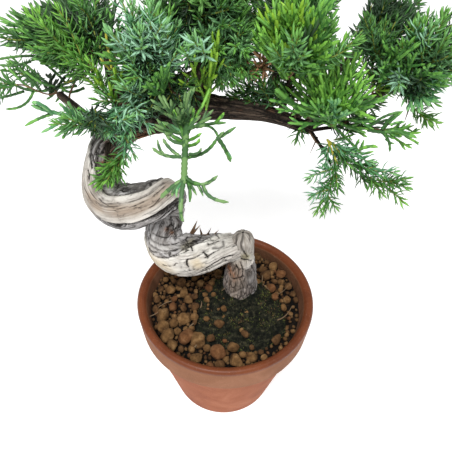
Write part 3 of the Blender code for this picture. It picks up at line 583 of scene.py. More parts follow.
def hashed(cells, seed):
    """A number from 0 to 1 for each whole-numbered cell."""
    mixed = cells[..., 0] * 73856093 ^ cells[..., 1] * 19349663 ^ cells[..., 2] * 83492791 ^ seed * 2971
    mixed = ((mixed ^ (mixed >> 13)) * 1274126177) & 0xFFFFFFFF
    return ((mixed ^ (mixed >> 16)) & 0xFFFFFF) / 0xFFFFFF


def noise(points, seed=0):
    """Smooth noise from -1 to 1, with features one unit apart."""
    base = np.floor(points).astype(np.int64)
    part = points - base
    part = part * part * (3 - 2 * part)
    total = 0
    for corner in np.ndindex(2, 2, 2):
        weight = np.prod(np.where(np.array(corner) == 1, part, 1 - part), axis=-1)
        total = total + weight * hashed(base + np.array(corner), seed)
    return 2 * total - 1


def layered(points, seed=0, layers=3):
    """Noise with finer noise on top of it."""
    return sum(noise(points * 2**k, seed + k) / 2**k for k in range(layers)) / 1.6


def cells(points, seed=0):
    """Distance to the nearest and the second nearest of points, one to a cell, and the nearest one's tone."""
    base = np.floor(points).astype(np.int64)
    nearest = np.full(points.shape[:-1], 9.0)
    second = nearest.copy()
    tone = nearest.copy()
    for step in np.ndindex(3, 3, 3):
        cell = base + np.array(step) - 1
        spot = cell + np.stack([hashed(cell, seed + k) for k in range(3)], axis=-1)
        away = np.linalg.norm(points - spot, axis=-1)
        second = np.minimum(second, np.maximum(nearest, away))
        tone = np.where(away < nearest, hashed(cell, seed + 3), tone)
        nearest = np.minimum(nearest, away)
    return nearest, second, tone


# Meshes


def add_object(name, data):
    thing = bpy.data.objects.new(name, data)
    bpy.context.scene.collection.objects.link(thing)
    return thing


def make_piece(name, points, faces, looks, stands_for=(), tints=None, smooth=True):
    """One mesh object that rides on the plant.

    faces is a list of index arrays with three or four columns, and tints a list of look numbers.
    """
    mesh = bpy.data.meshes.new(name)
    loops = np.concatenate([f.ravel() for f in faces])
    sizes = np.concatenate([np.full(len(f), f.shape[1]) for f in faces])
    mesh.vertices.add(len(points))
    mesh.vertices.foreach_set("co", grounded(points).astype(np.float32).ravel())
    mesh.loops.add(len(loops))
    mesh.loops.foreach_set("vertex_index", loops.astype(np.int32))
    mesh.polygons.add(len(sizes))
    mesh.polygons.foreach_set("loop_start", (np.cumsum(sizes) - sizes).astype(np.int32))
    if tints is not None:
        mesh.polygons.foreach_set("material_index", np.concatenate(tints).astype(np.int32))
    for look in looks:
        mesh.materials.append(look.material)
    mesh.update(calc_edges=True)
    mesh.validate()
    if smooth:
        mesh.shade_smooth()
    else:
        mesh.shade_flat()
    piece = add_object(name, mesh)
    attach(piece, "root")
    if stands_for:
        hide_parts(*stands_for)
    return piece


def point_values(piece, name, values):
    """A number for each point of the mesh, which its material reads."""
    made = piece.data.attributes.new(name, "FLOAT", "POINT")
    made.data.foreach_set("value", np.asarray(values, np.float32).ravel())


def grid_faces(rows, columns, closed=False):
    """Four-cornered faces of a grid whose columns close into a ring, and its rows too where closed."""
    row = np.arange(rows if closed else rows - 1)[:, None] * columns
    after = (row + columns) % (rows * columns)
    here = np.arange(columns)[None, :]
    there = (here + 1) % columns
    return np.stack([row + here, row + there, after + there, after + here], -1).reshape(-1, 4)


def angles_round(sides):
    return np.arange(sides) * 2 * math.pi / sides


def turned(radii, heights, sides):
    """Points of rings: radii by ring, or by ring and side, and heights by ring."""
    angles = angles_round(sides)
    rings = (radii * np.cos(angles), radii * np.sin(angles), np.reshape(heights, (-1, 1)))
    return np.stack(np.broadcast_arrays(*rings), -1).reshape(-1, 3)


def tube_mesh(places, ways, radii, shoot, sides):
    """Rings of points round the places, joined along each shoot, and the ring that each face starts from."""
    starts = np.concatenate([[True], shoot[1:] != shoot[:-1]])
    lead = ways[starts][np.cumsum(starts) - 1]
    least = np.eye(3)[np.argmin(np.abs(lead), axis=-1)]
    side = unit(np.cross(ways, least))
    over = np.cross(ways, side)
    turn = angles_round(sides)
    ring = side[:, None] * np.cos(turn)[None, :, None] + over[:, None] * np.sin(turn)[None, :, None]
    points = places[:, None] + ring * np.reshape(radii, (len(places), -1))[..., None]
    row = np.nonzero(~starts[1:])[0]
    here = np.arange(sides)
    there = (here + 1) % sides
    base = row[:, None] * sides
    faces = np.stack([base + here, base + there, base + sides + there, base + sides + here], -1)
    return points.reshape(-1, 3), faces.reshape(-1, 4), np.repeat(row, sides)


def make_strands(name, lines, radii, sides, look):
    """One piece of tubes along lines of places, with a radius for each place."""
    ways = np.concatenate([unit(np.gradient(line, axis=0)) for line in lines])
    shoot = np.repeat(np.arange(len(lines)), [len(line) for line in lines])
    points, faces, _ = tube_mesh(np.concatenate(lines), ways, np.concatenate(radii), shoot, sides)
    make_piece(name, points, [faces], [look])


# Materials


class Look:
    """A material, and short words for the shader nodes that the looks here use."""

    def __init__(self, name, roughness=0.6, colour=(0.5, 0.5, 0.5), shine=0.2):
        self.material = bpy.data.materials.new(name)
        self.material.use_nodes = True
        self.tree = self.material.node_tree
        self.shader = self.tree.nodes["Principled BSDF"]
        self.feed(self.shader, {"Base Color": (*colour, 1.0), "Roughness": roughness})
        self.feed(self.shader, {"Specular IOR Level": shine})

    def feed(self, node, inputs):
        """Links or sets a node's inputs, by name or number."""
        for name, value in inputs.items():
            if isinstance(value, bpy.types.NodeSocket):
                self.tree.links.new(value, node.inputs[name])
            else:
                node.inputs[name].default_value = value

    def new(self, kind, inputs, output=0, **settings):
        """An output of a new node."""
        node = self.tree.nodes.new("ShaderNode" + kind)
        for name, value in settings.items():
            setattr(node, name, value)
        self.feed(node, inputs)
        return node.outputs[output]

    def place(self, stretch=(1, 1, 1), kind=None):
        """Coordinates from the object, or from the named map, stretched."""
        source = self.new("UVMap", {}, "UV", uv_map=kind) if kind else self.new("TexCoord", {}, "Object")
        return self.new("Mapping", {"Scale": stretch, "Vector": source})

    def noise(self, where, scale, detail=4.0, rough=0.55, twist=0.0, output="Fac"):
        inputs = {"Vector": where, "Scale": scale, "Detail": detail, "Roughness": rough, "Distortion": twist}
        return self.new("TexNoise", inputs, output)

    def warp(self, where, scale, amount):
        """Coordinates pushed about by noise."""
        shove = self.noise(where, scale, 2.0, 0.5, 0.0, "Color")
        centred = self.new("VectorMath", {0: shove, 1: (0.5, 0.5, 0.5)}, operation="SUBTRACT")
        return self.new("VectorMath", {0: centred, 1: (amount,) * 3, 2: where}, operation="MULTIPLY_ADD")

    def value(self, name):
        return self.new("Attribute", {}, "Fac", attribute_name=name)

    def math(self, operation, first, second=0.0, clamp=False):
        return self.new("Math", {0: first, 1: second}, operation=operation, use_clamp=clamp)

    def add(self, first, second):
        return self.math("ADD", first, second)

    def times(self, first, second, clamp=False):
        return self.math("MULTIPLY", first, second, clamp)

    def most(self, first, second):
        return self.math("MAXIMUM", first, second)

    def sway(self, base, value, share):
        """A value moved up and down by another that lies about 0.5."""
        return self.add(base, self.times(self.math("SUBTRACT", value, 0.5), share))

    def range(self, value, low, high, to_low=0.0, to_high=1.0):
        inputs = {"Value": value, "From Min": low, "From Max": high, "To Min": to_low, "To Max": to_high}
        return self.new("MapRange", inputs)

    def ramp(self, value, *stops):
        """Colours by value: each stop is a place from 0 to 1 and a colour."""
        colour = self.new("ValToRGB", {"Fac": value})
        elements = colour.node.color_ramp.elements
        while len(elements) < len(stops):
            elements.new(0.5)
        for element, (place, tint) in zip(elements, stops):
            element.position = place
            element.color = (*tint, 1.0)
        return colour

    def blend(self, share, first, second):
        """The second colour over the first by a share."""
        if isinstance(second, tuple):
            second = (*second, 1.0)
        return self.new("Mix", {"Factor": share, 6: first, 7: second}, 2, data_type="RGBA")

    def finish(self, colour, height=None, strength=0.0, distance=0.0):
        """Sets the colour, and a bump where there is a height."""
        self.feed(self.shader, {"Base Color": colour})
        if height:
            inputs = {"Strength": strength, "Distance": distance, "Height": height}
            self.feed(self.shader, {"Normal": self.new("Bump", inputs)})


def clay_look():
    """Terracotta: orange body, browner band, dark rim with a little sheen, fine pale specks."""
    n = Look("terracotta")
    where = n.place()
    level = n.new("SeparateXYZ", {0: where}, "Z")
    band_low = (POT_TALL - BAND_HEIGHT) * MM
    rim_low, rim_high = (POT_TALL - RIM_COLOUR_LOW) * MM, (POT_TALL - RIM_COLOUR_HIGH) * MM
    cloud = n.noise(where, 42.0, 6.0, 0.65, 0.5)
    grain = n.noise(where, 1400.0, 3.0, 0.7)
    body, band, rim = (n.ramp(cloud, *stops) for stops in (BODY_STOPS, BAND_STOPS, RIM_STOPS))
    colour = n.blend(n.range(level, band_low - BAND_EDGE, band_low + BAND_EDGE), body, band)
    colour = n.blend(n.range(level, rim_low, rim_high), colour, rim)
    # Inside the pot the clay is darkened: partly a stain, partly painted shade of the recess.
    stain_and_shade_inside = n.times(n.value("inside"), n.range(cloud, 0.30, 0.62, 0.95, 0.55))
    colour = n.blend(stain_and_shade_inside, colour, (0.046, 0.019, 0.007))
    colour = n.blend(n.range(grain, 0.60, 0.78, 0.0, 0.35), colour, (0.55, 0.32, 0.22))
    colour = n.blend(n.range(grain, 0.40, 0.26, 0.0, 0.40), colour, (0.09, 0.030, 0.016))
    n.feed(n.shader, {"Roughness": n.range(level, rim_low, rim_high, 0.85, 0.40)})
    n.finish(colour, n.add(grain, n.noise(where, 260.0, 4.0)), 0.35, 0.0003)
    return n


def grain_look(name, colours, sunk=True):
    """Baked clay grains: dull, pitted and mottled, and darkened nearly to black where they are sunk, a
    painted shade in the gaps between them.
    """
    n = Look(name, 0.95)
    where = n.place()
    colour = n.ramp(n.noise(where, 260.0, 5.0, 0.65), *zip((0.30, 0.52, 0.72), colours))
    if sunk:
        # Painted shade: the sunk, lower parts of the grains turn nearly black.
        colour = n.blend(n.value("sunk"), colour, (0.003, 0.0015, 0.0008))
    n.finish(colour, n.noise(where, 900.0, 4.0, 0.7), 0.7, 0.0007)
    return n


def moss_look():
    n = Look("moss_mat", 0.95)
    where = n.place()
    colour = n.ramp(n.noise(where, 320.0, 6.0, 0.72), *MOSS_STOPS)
    n.finish(colour, n.noise(where, 1500.0, 3.0, 0.7), 0.9, 0.0012)
    return n


def twig_look():
    n = Look("twig_bark", 0.85)
    n.finish(n.ramp(n.noise(n.place(), 420.0, 4.0, 0.65), *TWIG_STOPS))
    return n


def add_soft_colours(n, colour, most):
    for kind, tint, share in SOFT_COLOURS:
        colour = n.blend(n.times(n.value(kind), most * share), colour, tint)
    return colour


def wood_look():
    """Bark and bare wood, told apart by values that the relief gives each point."""
    n = Look("bark_and_bare_wood", 0.9)
    flow = n.warp(n.place((60.0, 900.0, 1.0), "Flow"), 0.5, 1.2)
    broad = n.noise(flow, 0.55, 4.0, 0.6, 0.6)
    fine = n.noise(flow, 2.6, 4.0, 0.7, 0.3)
    streak = n.noise(flow, 0.40, 2.0, 0.5)
    cloud = n.noise(n.place(), 110.0, 4.0, 0.6)
    grit = n.noise(n.place(), 900.0, 3.0, 0.7)
    grain = n.add(n.times(broad, 0.60), n.times(fine, 0.40))
    bare = add_soft_colours(n, n.ramp(n.sway(grain, n.value("pale"), 0.40), *BARE_STOPS), 1.0)
    bare = n.blend(n.range(fine, 0.40, 0.28, 0.0, 0.55), bare, (0.150, 0.115, 0.090))
    toned = n.sway(grain, n.value("tone"), 0.22)
    grey = n.ramp(toned, *GREY_STOPS)
    brown = n.ramp(toned, *BROWN_STOPS)
    brown = n.blend(n.range(cloud, 0.54, 0.72, 0.0, 0.6), brown, (0.230, 0.090, 0.035))
    bark = add_soft_colours(n, n.blend(n.value("brown"), grey, brown), 0.7)
    colour = n.blend(n.value("bark"), bare, bark)
    flecks = n.times(n.range(grit, 0.42, 0.30, 0.0, 0.6), n.range(n.value("bark"), 0.0, 1.0, 0.35, 1.0))
    colour = n.blend(flecks, colour, (0.06, 0.05, 0.04))
    rust = n.times(n.value("rust"), n.range(grain, 0.35, 0.55), clamp=True)
    colour = n.blend(rust, colour, (0.260, 0.105, 0.040))
    dark = crack_and_shade_darkness(n, fine, streak, cloud, grit)
    # Around cracks and seams the wood darkens, and inside them it is near black: partly their own dark,
    # partly painted shade.
    colour = n.blend(n.range(n.value("room"), 0.9, 0.0, 0.0, 0.30), colour, (0.110, 0.080, 0.060))
    colour = n.blend(n.times(dark, 0.95), colour, (0.007, 0.005, 0.004))
    n.finish(colour, n.math("SUBTRACT", n.add(fine, broad), n.times(dark, 1.5)), 0.8, 0.0007)
    return n


def crack_and_shade_darkness(n, fine, streak, cloud, grit):
    """How dark the seams of the bark, the cracks and the shade are: the near black of seams and cracks is
    partly their own and partly painted shade inside them, and the shade strokes are painted shade.
    """
    plate_map = n.warp(n.place((95.0, 420.0, 1.0), "Flow"), 1.4, 0.5)
    plates = n.new("TexVoronoi", {"Vector": plate_map, "Scale": 1.0}, "Distance", feature="DISTANCE_TO_EDGE")
    seams = n.times(n.range(plates, 0.095, 0.015), n.range(cloud, 0.40, 0.56, 0.0, 0.85))
    seams = n.times(seams, n.value("bark"))
    ribbon = n.math("ABSOLUTE", n.math("SUBTRACT", streak, 0.5))
    ribbon = n.times(n.range(ribbon, 0.012, 0.003), n.range(cloud, 0.38, 0.54, 0.0, 0.8))
    crack = n.range(n.sway(n.sway(n.value("room"), grit, 0.9), fine, 0.7), 0.16, -0.16)
    dark = n.most(n.most(seams, crack), ribbon)
    dark = n.times(dark, n.range(n.value("white"), 0.0, 1.0, 1.0, 0.45))
    return n.most(dark, n.times(n.value("shade"), 0.75))


def leaf_looks():
    """Three plain colours for each tint, dealt out by spray: old, young and bloom."""
    looks = {}
    for name, tint in TINTS.items():
        for part in PARTS:
            looks[name, part] = Look(f"{name}_{part}", 0.5, getattr(tint, part), 0.35)
    return looks


# Pot


def pot_outline():
    """Radius and height in MM of the points round the pot's wall, from the drain hole out and back."""
    band_low = POT_TALL - BAND_HEIGHT
    crest = np.radians(np.linspace(15, 80, 6))
    return np.vstack([
        [(DRAIN, 0.4), (DRAIN + 0.4, 0.0), (POT_FOOT - 1.6, 0.0), (POT_FOOT - 0.5, 0.5), (POT_FOOT, 1.5)],
        np.linspace((POT_FOOT, 1.5), (POT_WALL_TOP, band_low - 0.8), 16)[1:],
        [(POT_WALL_TOP + 0.5, band_low - 0.1), (BAND_FOOT - 1.0, band_low + 0.1)],
        [(BAND_FOOT - 0.3, band_low + 0.5), (BAND_FOOT, band_low + BAND_ROUND)],
        np.linspace((BAND_FOOT, band_low + BAND_ROUND), (RIM, POT_TALL - RIM_ROUND), 7)[1:],
        np.stack([RIM - RIM_ROUND * (1 - np.cos(crest)), POT_TALL - RIM_ROUND * (1 - np.sin(crest))], -1),
        LIP,
        np.linspace(LIP[-1], (POT_FLOOR_INNER, POT_FLOOR), 12)[1:],
        [(DRAIN + 0.4, POT_FLOOR), (DRAIN, POT_FLOOR - 0.4)],
    ])


def make_pot():
    """The clay wall, a little uneven; its inside is stained and darkened with painted shade."""
    sides = 160
    inner_rings = 15
    outline = pot_outline()
    points = turned(outline[:, :1], outline[:, 1], sides)
    uneven = 0.16 * noise(points * (0.03, 0.03, 0.35), 5) * (points[:, 2] > 2.0)
    points = points + unit(points * (1, 1, 0)) * uneven[:, None]
    faces = grid_faces(len(outline), sides, True)
    piece = make_piece("pot_wall", points, [faces], [clay_look()], ["pot"])
    point_values(piece, "inside", np.repeat(np.arange(len(outline)) >= len(outline) - inner_rings, sides))


# Soil, moss and litter


def soil_level(y):
    """Height of the soil in MM: a little higher at the back."""
    return SOIL_TOP + SOIL_RISE + SOIL_SLOPE * y


def moss_reach(angle):
    """How far the moss spreads from its middle, in MM."""
    around = np.stack([np.cos(angle) * 1.6, np.sin(angle) * 1.6, np.zeros_like(angle)], -1)
    return MOSS_REACH * (1 + 0.24 * noise(around + 7.0, 3))


def in_moss(x, y, margin=0.0):
    dx = x - MOSS_PLACE[0]
    dy = y - MOSS_PLACE[1]
    return math.hypot(dx, dy) < moss_reach(np.array([math.atan2(dy, dx)]))[0] + margin


def moss_level(x, y):
    """Height of the mossy ground over the soil in MM: a lumpy mound."""
    share = np.hypot(x - MOSS_PLACE[0], y - MOSS_PLACE[1]) / MOSS_REACH
    foot = np.hypot(x - STUMP[0].x, y - STUMP[0].y) / 15.0
    place = np.stack([x, y, np.zeros_like(x)], -1)
    lumps = 1.5 * layered(place * 0.20, 4) + 0.9 * layered(place * 0.6, 6)
    return -3.4 + 3.4 * (1 - np.clip(share, 0, 1.3) ** 2) + 6.5 * np.exp(-(foot**2)) + lumps


def ball(fineness):
    """Points and triangles of a ball of radius 1."""
    maker = bmesh.new()
    bmesh.ops.create_icosphere(maker, subdivisions=fineness - 1, radius=1.0)
    points = np.array([corner.co for corner in maker.verts])
    faces = np.array([[corner.index for corner in face.verts] for face in maker.faces])
    maker.free()
    return points, faces


def pebble(shape, rng, seed):
    """A ball cut down by a few planes, roughened and turned at random."""
    cuts = unit(rng.normal(size=(11, 3)))
    depths = rng.uniform(0.68, 0.98, 11)
    reach = np.min(depths / np.maximum(shape @ cuts.T, 0.25), axis=1)
    reach = np.minimum(reach, 1.1) * (1 + 0.05 * layered(shape * 3.0 + seed, 1))
    grain = shape * reach[:, None] * rng.uniform(0.75, 1.15, 3)
    turn, _ = np.linalg.qr(rng.normal(size=(3, 3)))
    return grain @ turn


def suits(rng, x, y, radius, level):
    """Whether a grain may lie at a place: off the moss, the big ones at the front left, few at the right."""
    stray = rng.random() < (0.02 if level < BIG else 0.0)
    if math.hypot(x, y) > SOIL_RADIUS - radius * 0.9 or (in_moss(x, y, -radius * 0.3) and not stray):
        return False
    if level == BIG and (y > -8 or x > 14):
        return False
    if level == MIDDLING and (x > 14 or y > 12) and rng.random() < 0.55:
        return False
    return not (x > 18 and y < 2 and rng.random() < 0.85)


def scatter_grains(rng):
    """Places, radii and fineness of the grains, big ones first, none in the middle of another."""
    found = []
    for count, small, large, level in GRAIN_SIZES:
        apart = 0.84 if level > SMALL else 0.70
        made = 0
        for _ in range(count * 14):
            if made == count:
                break
            radius = rng.uniform(small, large)
            x, y = rng.uniform(-SOIL_RADIUS, SOIL_RADIUS, 2)
            if not suits(rng, x, y, radius, level):
                continue
            if all(math.hypot(x - g[0], y - g[1]) > apart * (radius + g[3]) for g in found):
                sunk = rng.uniform(0.0, 0.5) * radius
                rise = GRAIN_RISE_ON_MOSS if in_moss(x, y) else 0.0
                found.append((x, y, soil_level(y) - GRAIN_DROP + radius - sunk + rise, radius, level))
                made += 1
    return found


def make_grains():
    rng = np.random.default_rng(SEED)
    balls = {size[-1]: ball(size[-1]) for size in GRAIN_SIZES}
    points, faces, tints, sunk, count = [], [], [], [], 0
    for k, (x, y, z, radius, level) in enumerate(scatter_grains(rng)):
        shape, sides = balls[level]
        grain = pebble(shape, rng, k * 3.1) * radius
        points.append(grain + (x, y, z))
        # How far down in the gaps each point lies, which the grains' material paints as shade
        sunk.append(1 - smoothstep(-FINES_DROP, -1.4, grain[:, 2] + z - soil_level(y)))
        faces.append(sides + count)
        tints.append(np.full(len(sides), rng.choice(3, p=(0.55, 0.35, 0.10))))
        count += len(shape)
    looks = [grain_look(name, colours) for name, colours in GRAIN_COLOURS.items()]
    piece = make_piece("soil_grains", np.concatenate(points), faces, looks, (), tints)
    point_values(piece, "sunk", np.concatenate(sunk))


def make_bed():
    """The fines between the grains, down to the pot's floor, nearly black: a painted shade of the gaps."""
    sides = 96
    rings = 40
    radii = np.concatenate([np.linspace(0.4, SOIL_RADIUS, rings), [SOIL_RADIUS - 0.4, 28.0, 0.4]])
    heights = [SOIL_TOP - FINES_DROP] * (rings + 1) + [POT_FLOOR + 0.4] * 2
    points = turned(radii[:, None], heights, sides)
    lift = soil_level(points[:, 1]) - SOIL_TOP + 0.9 * layered(points * 0.45, 9)
    points[:, 2] += lift * (np.arange(len(points)) < rings * sides)
    # Painted shade: the fines are nearly black, standing for the shade deep in the gaps.
    dark = grain_look("soil_fines_shade", FINES_SHADE_COLOURS, False)
    make_piece("soil_bed", points, [grid_faces(len(radii), sides)], [dark], ["soil"])


def make_mound():
    """The dark mossy ground."""
    sides = 150
    shares = np.linspace(0.02, 1.0, 56)
    points = turned(shares[:, None] * moss_reach(angles_round(sides)), 0 * shares, sides) + (*MOSS_PLACE, 0)
    points[:, 2] = moss_level(points[:, 0], points[:, 1]) + soil_level(points[:, 1])
    make_piece("moss_mound", points, [grid_faces(len(shares), sides)], [moss_look()], ["moss"])


def make_tufts():
    """Many small moss leaves."""
    rng = np.random.default_rng(SEED + 1)
    angle = rng.uniform(0, 2 * math.pi, TUFTS)
    reach = moss_reach(angle) * np.sqrt(rng.uniform(0, 1, TUFTS)) * 1.03
    x = MOSS_PLACE[0] + np.cos(angle) * reach
    y = MOSS_PLACE[1] + np.sin(angle) * reach
    foot = np.stack([x, y, moss_level(x, y) + soil_level(y) - 0.3], -1)
    way = unit(rng.normal(size=(TUFTS, 3)) * 0.8 + UP)
    side = unit(np.cross(way, rng.normal(size=(TUFTS, 3))))
    length = rng.uniform(0.8, 2.2, TUFTS)[:, None]
    width = rng.uniform(0.20, 0.45, TUFTS)[:, None]
    blades = np.stack([foot - side * width, foot + side * width, foot + way * length], 1).reshape(-1, 3)
    faces = np.arange(TUFTS * 3).reshape(-1, 3)
    looks = [Look(f"moss_leaf_{k}", 0.85, colour) for k, colour in enumerate(MOSS_LEAVES)]
    patch = noise(foot * 0.22, 8) + rng.normal(size=TUFTS) * 0.35
    tints = np.digitize(patch, (-0.05, 0.30, 0.55, 0.80))
    make_piece("moss_tufts", blades, [faces], looks, (), [tints], smooth=False)


def make_litter():
    """Rootlets, dead needles and pale bits of twig that lie on the soil."""
    rng = np.random.default_rng(SEED + 5)
    t = np.linspace(0, 1, 7)[:, None]
    lines, radii = [], []
    for _ in range(LITTER):
        angle, far = rng.uniform(0, 2 * math.pi), SOIL_RADIUS * math.sqrt(rng.uniform(0.02, 0.8))
        x, y = math.cos(angle) * far, math.sin(angle) * far
        rise = float(moss_level(np.array([x]), np.array([y]))[0]) if in_moss(x, y) else -0.6
        long = rng.uniform(4, 12)
        run = unit(np.array([*rng.normal(size=2), 0.0]))
        bend = np.cross(UP, run) * rng.normal() * 0.4
        line = np.array([x, y, soil_level(y) + rise + 0.5]) + (run * t + bend * t * t) * long
        line[:, 2] += 1.2 * np.sin(t[:, 0] * 3.1) * rng.uniform(0.2, 1.0)
        lines.append(line)
        radii.append(rng.uniform(0.14, 0.5) * (1 - 0.5 * t[:, 0]))
    make_strands("soil_litter", lines, radii, 5, Look("litter", 0.9, (0.15, 0.10, 0.058)))


# Limbs

# Radius in MM at which the flow map is unrolled
AROUND = 9.0
# Bark plates to the MM along and round the trunk, and on the stump
BARK_PLATES = (0.055, 0.30, 0.30)
STUMP_PLATES = (0.10, 0.15, 0.15)
# Stations over which the lower arm's cracks and paleness set in and end, and those where the rise turns pale
ARM_CRACKS_IN = (1.8, 2.6)
ARM_PALE_IN = (1.6, 2.8)
ARM_ENDS = (6.5, 5.0)
RISE_PALE_IN = (11.5, 12.3)


def spline(stations, where):
    """Place, direction and bend on a smooth curve led by the stations, at station numbers."""
    places = np.array([[s.x, s.y, s.z] for s in stations])
    places = np.vstack([2 * places[0] - places[1], places, 2 * places[-1] - places[-2]])
    step = np.clip(where.astype(int), 0, len(stations) - 2)
    t = (where - step)[:, None]
    blends = (
        ((1 - t) ** 3 / 6, (3 * t**3 - 6 * t**2 + 4) / 6, (-3 * t**3 + 3 * t**2 + 3 * t + 1) / 6, t**3 / 6),
        (-((1 - t) ** 2) / 2, (3 * t**2 - 4 * t) / 2, (-3 * t**2 + 2 * t + 1) / 2, t**2 / 2),
        (1 - t, 3 * t - 2, 1 - 3 * t, t),
    )
    place, slope, turn = (sum(places[step + k] * w for k, w in enumerate(blend)) for blend in blends)
    direction = unit(slope)
    sideways = turn - direction * np.sum(turn * direction, -1, keepdims=True)
    return place, direction, sideways / np.sum(slope**2, -1, keepdims=True)


def by_station(values, where):
    return np.interp(where, np.arange(len(values)), values)


def bark_relief(flow, plates):
    """Height and room to the nearest seam in MM, and tone, of flaky bark at places on the unrolled limb."""
    near, second, tone = cells(flow * plates + 0.35 * layered(flow * 0.25, 20)[:, None], 11)
    seam = (second - near) / (2 * plates[1])
    fibres = layered(flow * (0.06, 0.95, 0.95), 12)
    open_seam = smoothstep(-0.35, 0.25, noise(flow * 0.07, 23))
    height = 0.55 * smoothstep(0.0, 0.8, seam) - 0.35 * near + 0.35 * fibres + 0.5 * layered(flow * 0.11, 13)
    return height + 0.3 * (tone - 0.5), seam - 0.42 * open_seam + 0.15, tone


def bare_relief(flow, checked):
    """Height in MM and room to the nearest crack in MM of weathered bare wood with ridges."""
    ridges = layered(flow * (0.03, 0.40, 0.40), 14, 4)
    fine = noise(flow * (0.08, 1.9, 1.9), 15)
    near, second, _ = cells(flow * (0.075, 0.13, 0.13) + 0.25 * layered(flow * 0.3, 16)[:, None], 17)
    room = (second - near) / 0.26 - 0.30 * smoothstep(-0.1, 0.3, noise(flow * 0.055, 18)) * checked + 0.12
    return 0.55 * ridges + 0.12 * fine - 0.5 * smoothstep(0.3, -0.2, room), room


def stroke_room(path, where, along, turn, radius):
    """Distance in MM of every point of the unrolled limb from a path."""
    rings = np.repeat(radius, len(turn))
    ahead = np.repeat(along, len(turn))
    degrees = np.tile(np.degrees(turn), len(along))
    nearest = np.full(len(ahead), 99.0)
    for (station, angle), (next_station, next_angle) in zip(path[:-1], path[1:]):
        x = np.interp(station, where, along) - ahead
        y = np.radians((angle - degrees + 180) % 360 - 180) * rings
        run = np.interp(next_station, where, along) - np.interp(station, where, along)
        rise = np.radians(next_angle - angle) * rings
        share = np.clip(-(x * run + y * rise) / (run**2 + rise**2), 0, 1)
        nearest = np.minimum(nearest, np.hypot(x + run * share, y + rise * share))
    return nearest


def add_strokes(strokes, spot, flow, height, room):
    """Sinks the strokes into the relief, and gives the height, the room and a value for each soft kind."""
    soft = {kind: 0 * room for kind in TRUNK_STROKES if kind != "crack"}
    waver = 0.5 * layered(flow * 0.30, 26)
    for kind, rows in strokes.items():
        for wide, deep, *path in rows:
            away = stroke_room(np.reshape(path, (-1, 2)), *spot)
            if kind == "crack":
                away = away + waver
                room = np.minimum(room, away - 0.6 * wide)
                height = height - deep * smoothstep(wide + 0.7, 0.2 * wide, away)
            else:
                inside = np.exp(-((away * (1 + waver) / wide) ** 2))
                height = height - deep * inside
                soft[kind] = np.maximum(soft[kind], inside)
    return height, room, soft


def limb_course(stations, where, domes):
    """Places, bend, facing and the direction square to it, length along and radius of a limb's rings."""
    place, direction, bend = spline(stations, where)
    along = np.concatenate([[0.0], np.cumsum(np.linalg.norm(np.diff(place, axis=0), axis=1))])
    radius = by_station([s.radius for s in stations], where)
    for wanted, left, end in ((domes[0], along, radius[0]), (domes[1], along[-1] - along, radius[-1])):
        if wanted:
            radius = radius * np.sqrt(np.clip(1 - (1 - np.clip(left / end, 0, 1)) ** 2, 0.02, 1))
    facing = np.stack([by_station([s.facing[k] for s in stations], where) for k in range(3)], -1)
    facing = unit(facing - direction * np.sum(facing * direction, -1, keepdims=True))
    return place, bend, facing, np.cross(direction, facing), along, radius


def limb_surface(stations, rings, sides, rough, brown, strokes, plates=BARK_PLATES, domes=(True, True)):
    """Points, length along, angles and point values of a limb with relief."""
    where = np.linspace(0.0, len(stations) - 1.0, rings)
    place, bend, facing, over, along, radius = limb_course(stations, where, domes)
    turn = (np.arange(sides) + 0.5) / sides * 2 * math.pi - math.pi
    out = facing[:, None] * np.cos(turn)[None, :, None] + over[:, None] * np.sin(turn)[None, :, None]
    inside = np.maximum(np.sum(out * bend[:, None], -1), 0.001)
    reach = np.minimum(radius[:, None], 0.9 / inside)

    length = along[:, None] + 3 * stations[0].x
    flow = np.broadcast_arrays(length, np.cos(turn) * AROUND, np.sin(turn) * AROUND)
    flow = np.stack(flow, -1).reshape(-1, 3)
    station = np.repeat(where, sides)
    ring = np.repeat(radius, sides)
    degrees = np.tile(np.degrees(turn), rings) + 4 * layered(flow * (0.06, 0.10, 0.10), 21)
    upper = np.repeat(by_station([s.bare for s in stations], where), sides)
    lower = np.repeat(by_station([s.low for s in stations], where), sides)
    inward = np.radians(np.minimum(upper - degrees, lower + degrees)) * ring
    inward = np.where(upper + lower > 320, 9.0, inward)
    bark = smoothstep(0.25, -0.25, inward)
    checked = smoothstep(*ARM_CRACKS_IN, station) * smoothstep(*ARM_ENDS, station)
    bark_height, seam, tone = bark_relief(flow, np.array(plates))
    bare_height, crack = bare_relief(flow, checked)
    rim = smoothstep(4.0, 0.8, inward) * (1 - bark)
    bare_height = bare_height * (1 + smoothstep(2.4, 1.2, station)) + 0.7 * rim
    height = bark * (bark_height + 0.55) + (1 - bark) * bare_height - 1.1 * np.exp(-((inward / 0.7) ** 2))
    edge = np.abs(inward) - 0.22 - 0.25 * layered(flow * 0.2, 29)
    room = np.minimum(np.where(bark > 0.5, seam, crack), edge)
    height, room, values = add_strokes(strokes, (where, along, turn, radius), flow, height, room)
    height = height * rough * np.clip(ring / 8.0, 0.25, 1.0)
    reach = reach + height.reshape(reach.shape) - 0.35 * rough
    low_arm = smoothstep(*ARM_ENDS, station) * (0.6 + 0.4 * smoothstep(*ARM_PALE_IN, station))
    pale = 0.35 + 0.5 * low_arm + 0.3 * rim + 0.4 * smoothstep(*RISE_PALE_IN, station)
    values.update(bark=bark, room=np.clip(room, -1, 3), tone=tone, pale=pale, brown=brown(station))
    return (place[:, None] + out * reach[..., None]).reshape(-1, 3), along, turn, values


def flow_map(faces, along, turn):
    """Places in MM on the unrolled limb of the corners of its faces, whole across the seam."""
    half_turn = AROUND * math.pi
    ahead = np.repeat(along, len(turn))[faces]
    around = (np.tile(turn, len(along)) * AROUND)[faces]
    wraps = (around.max(1) - around.min(1)) > half_turn
    around[wraps] += 2 * half_turn * (around[wraps] < 0)
    return np.stack([ahead, around], -1).reshape(-1, 2)


